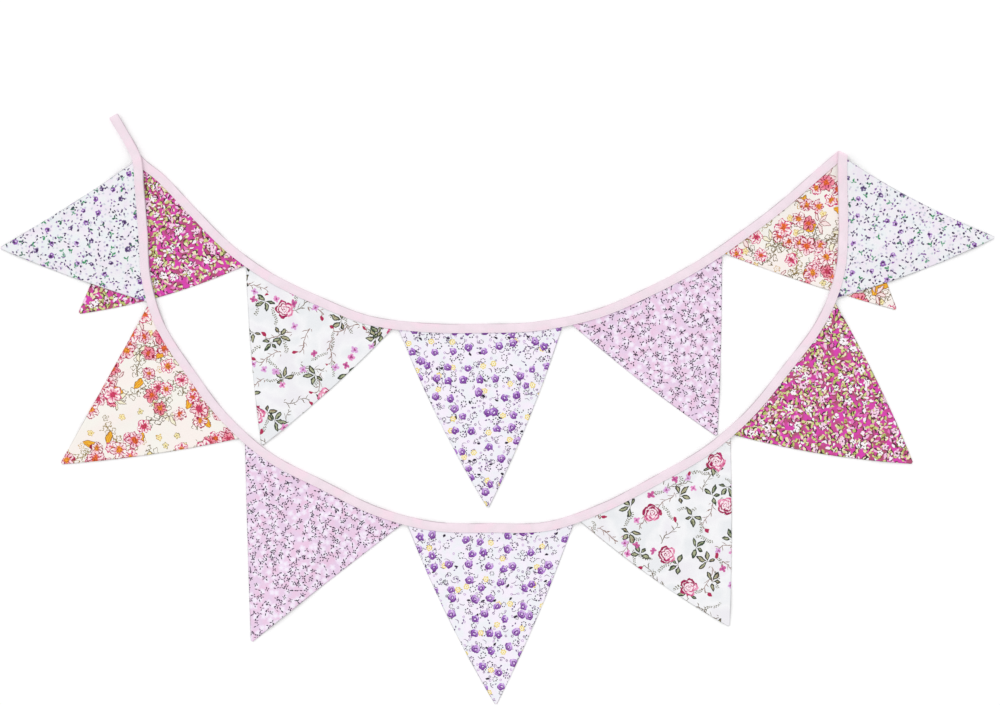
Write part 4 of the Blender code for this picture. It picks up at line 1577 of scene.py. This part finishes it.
# %% Making the tape
def make_tape():
    marks = tape_marks()
    across, level = section_at(marks)
    stations = np.broadcast_to(marks[:, None], level.shape)
    lift = np.broadcast_to(carried(tape_line.on_plan(marks, 0.0)[0])[:, None], level.shape)
    points = tape_line.place(stations, across, level, lift)

    # A sewn strip is never quite straight: its free folded edge wavers a little
    sideways = left_of(np.gradient(points[..., :2], axis=0))
    sideways /= np.maximum(np.linalg.norm(sideways, axis=-1, keepdims=True), SHORTEST)
    share = ((across + HALF_TAPE) / TAPE_WIDTH)[..., None]
    waves = ripples(stations, 0 * stations, WAVER_LENGTH, WAVER_SEED)[..., None]
    points[..., :2] += sideways * share * WAVER * waves

    faces = strip_faces(*level.shape)
    girth = np.cumsum(np.hypot(np.diff(across[0]), np.diff(level[0])))
    girth = np.broadcast_to(np.concatenate(((0.0,), girth)), level.shape)
    uvs = np.stack((stations, girth), axis=-1).reshape(-1, 2)[faces]
    # Distance from the folded edge only, so the painted shade line runs along the fold and not along
    # the open edge
    edges = (HALF_TAPE - across).ravel()[faces].ravel()
    piece = finished("binding_tape", points.reshape(-1, 3), faces, uvs, edges, "tape")
    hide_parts("tape")
    return piece


binding = make_tape()
print("tape:", len(binding.data.polygons), "faces")

# %% [markdown]
# ## The stitches
#
# One line of machine stitches closes the tape, near its open edge. Each stitch is a short thread
# that dips into the cloth at both ends, so it is modelled as a slim bead lying in the groove, on
# the upper face and on the back. They are small, but they are real shapes and catch the light.

# %% One bead of thread
STITCH_PITCH = 3.0
STITCH_HALF = np.array((1.15, 0.19, 0.13))
STITCH_ACROSS = -4.4
STITCH_DEPTH = 0.13
RINGS = (-0.78, -0.3, 0.3, 0.78)
ROUND = 6


def bead():
    """The points and faces of one bead, from -1 to 1 on each axis."""
    turns = FULL_TURN * np.arange(ROUND) / ROUND
    rings = []
    for x in RINGS:
        radius = math.sqrt(1 - x * x)
        rings.append(np.stack((0 * turns + x, radius * np.cos(turns), radius * np.sin(turns)), 1))
    points = np.vstack(((-1.0, 0.0, 0.0), *rings, (1.0, 0.0, 0.0)))
    faces = []
    for k in range(ROUND):
        after = (k + 1) % ROUND
        faces.append((0, 1 + after, 1 + k))
        for ring in range(len(RINGS) - 1):
            a, b = 1 + ring * ROUND, 1 + (ring + 1) * ROUND
            faces += [(a + k, a + after, b + after), (a + k, b + after, b + k)]
        last = 1 + (len(RINGS) - 1) * ROUND
        faces.append((len(points) - 1, last + k, last + after))
    return points, np.array(faces)


print("a bead has", len(bead()[0]), "points and", len(bead()[1]), "triangles")


# %% All the stitches
def make_stitches():
    shape, faces = bead()
    local = shape * STITCH_HALF
    stations = np.arange(STITCH_PITCH, tape_line.length - STITCH_PITCH / 2, STITCH_PITCH)
    thick = tape_line.height(stations)
    clouds = []
    for centre in (0 * thick + STITCH_DEPTH, thick - STITCH_DEPTH):
        along = stations[:, None] + local[:, 0]
        across = STITCH_ACROSS + local[:, 1] + 0 * along
        level = centre[:, None] + local[:, 2]
        lift = np.broadcast_to(carried(tape_line.on_plan(stations, 0.0)[0])[:, None], along.shape)
        clouds.append(tape_line.place(along, across, level, lift))
    points = np.vstack(clouds).reshape(-1, 3)
    starts = np.arange(len(points) // len(shape)) * len(shape)
    every = (starts[:, None, None] + faces).reshape(-1, 3)
    uv = points[every][..., :2].reshape(-1, 2)
    return finished("tape_stitches", points, every, uv, np.full(every.size, HALF_TAPE), "tape")


stitches = make_stitches()
print("stitches:", len(stitches.data.polygons), "faces")

# %% [markdown]
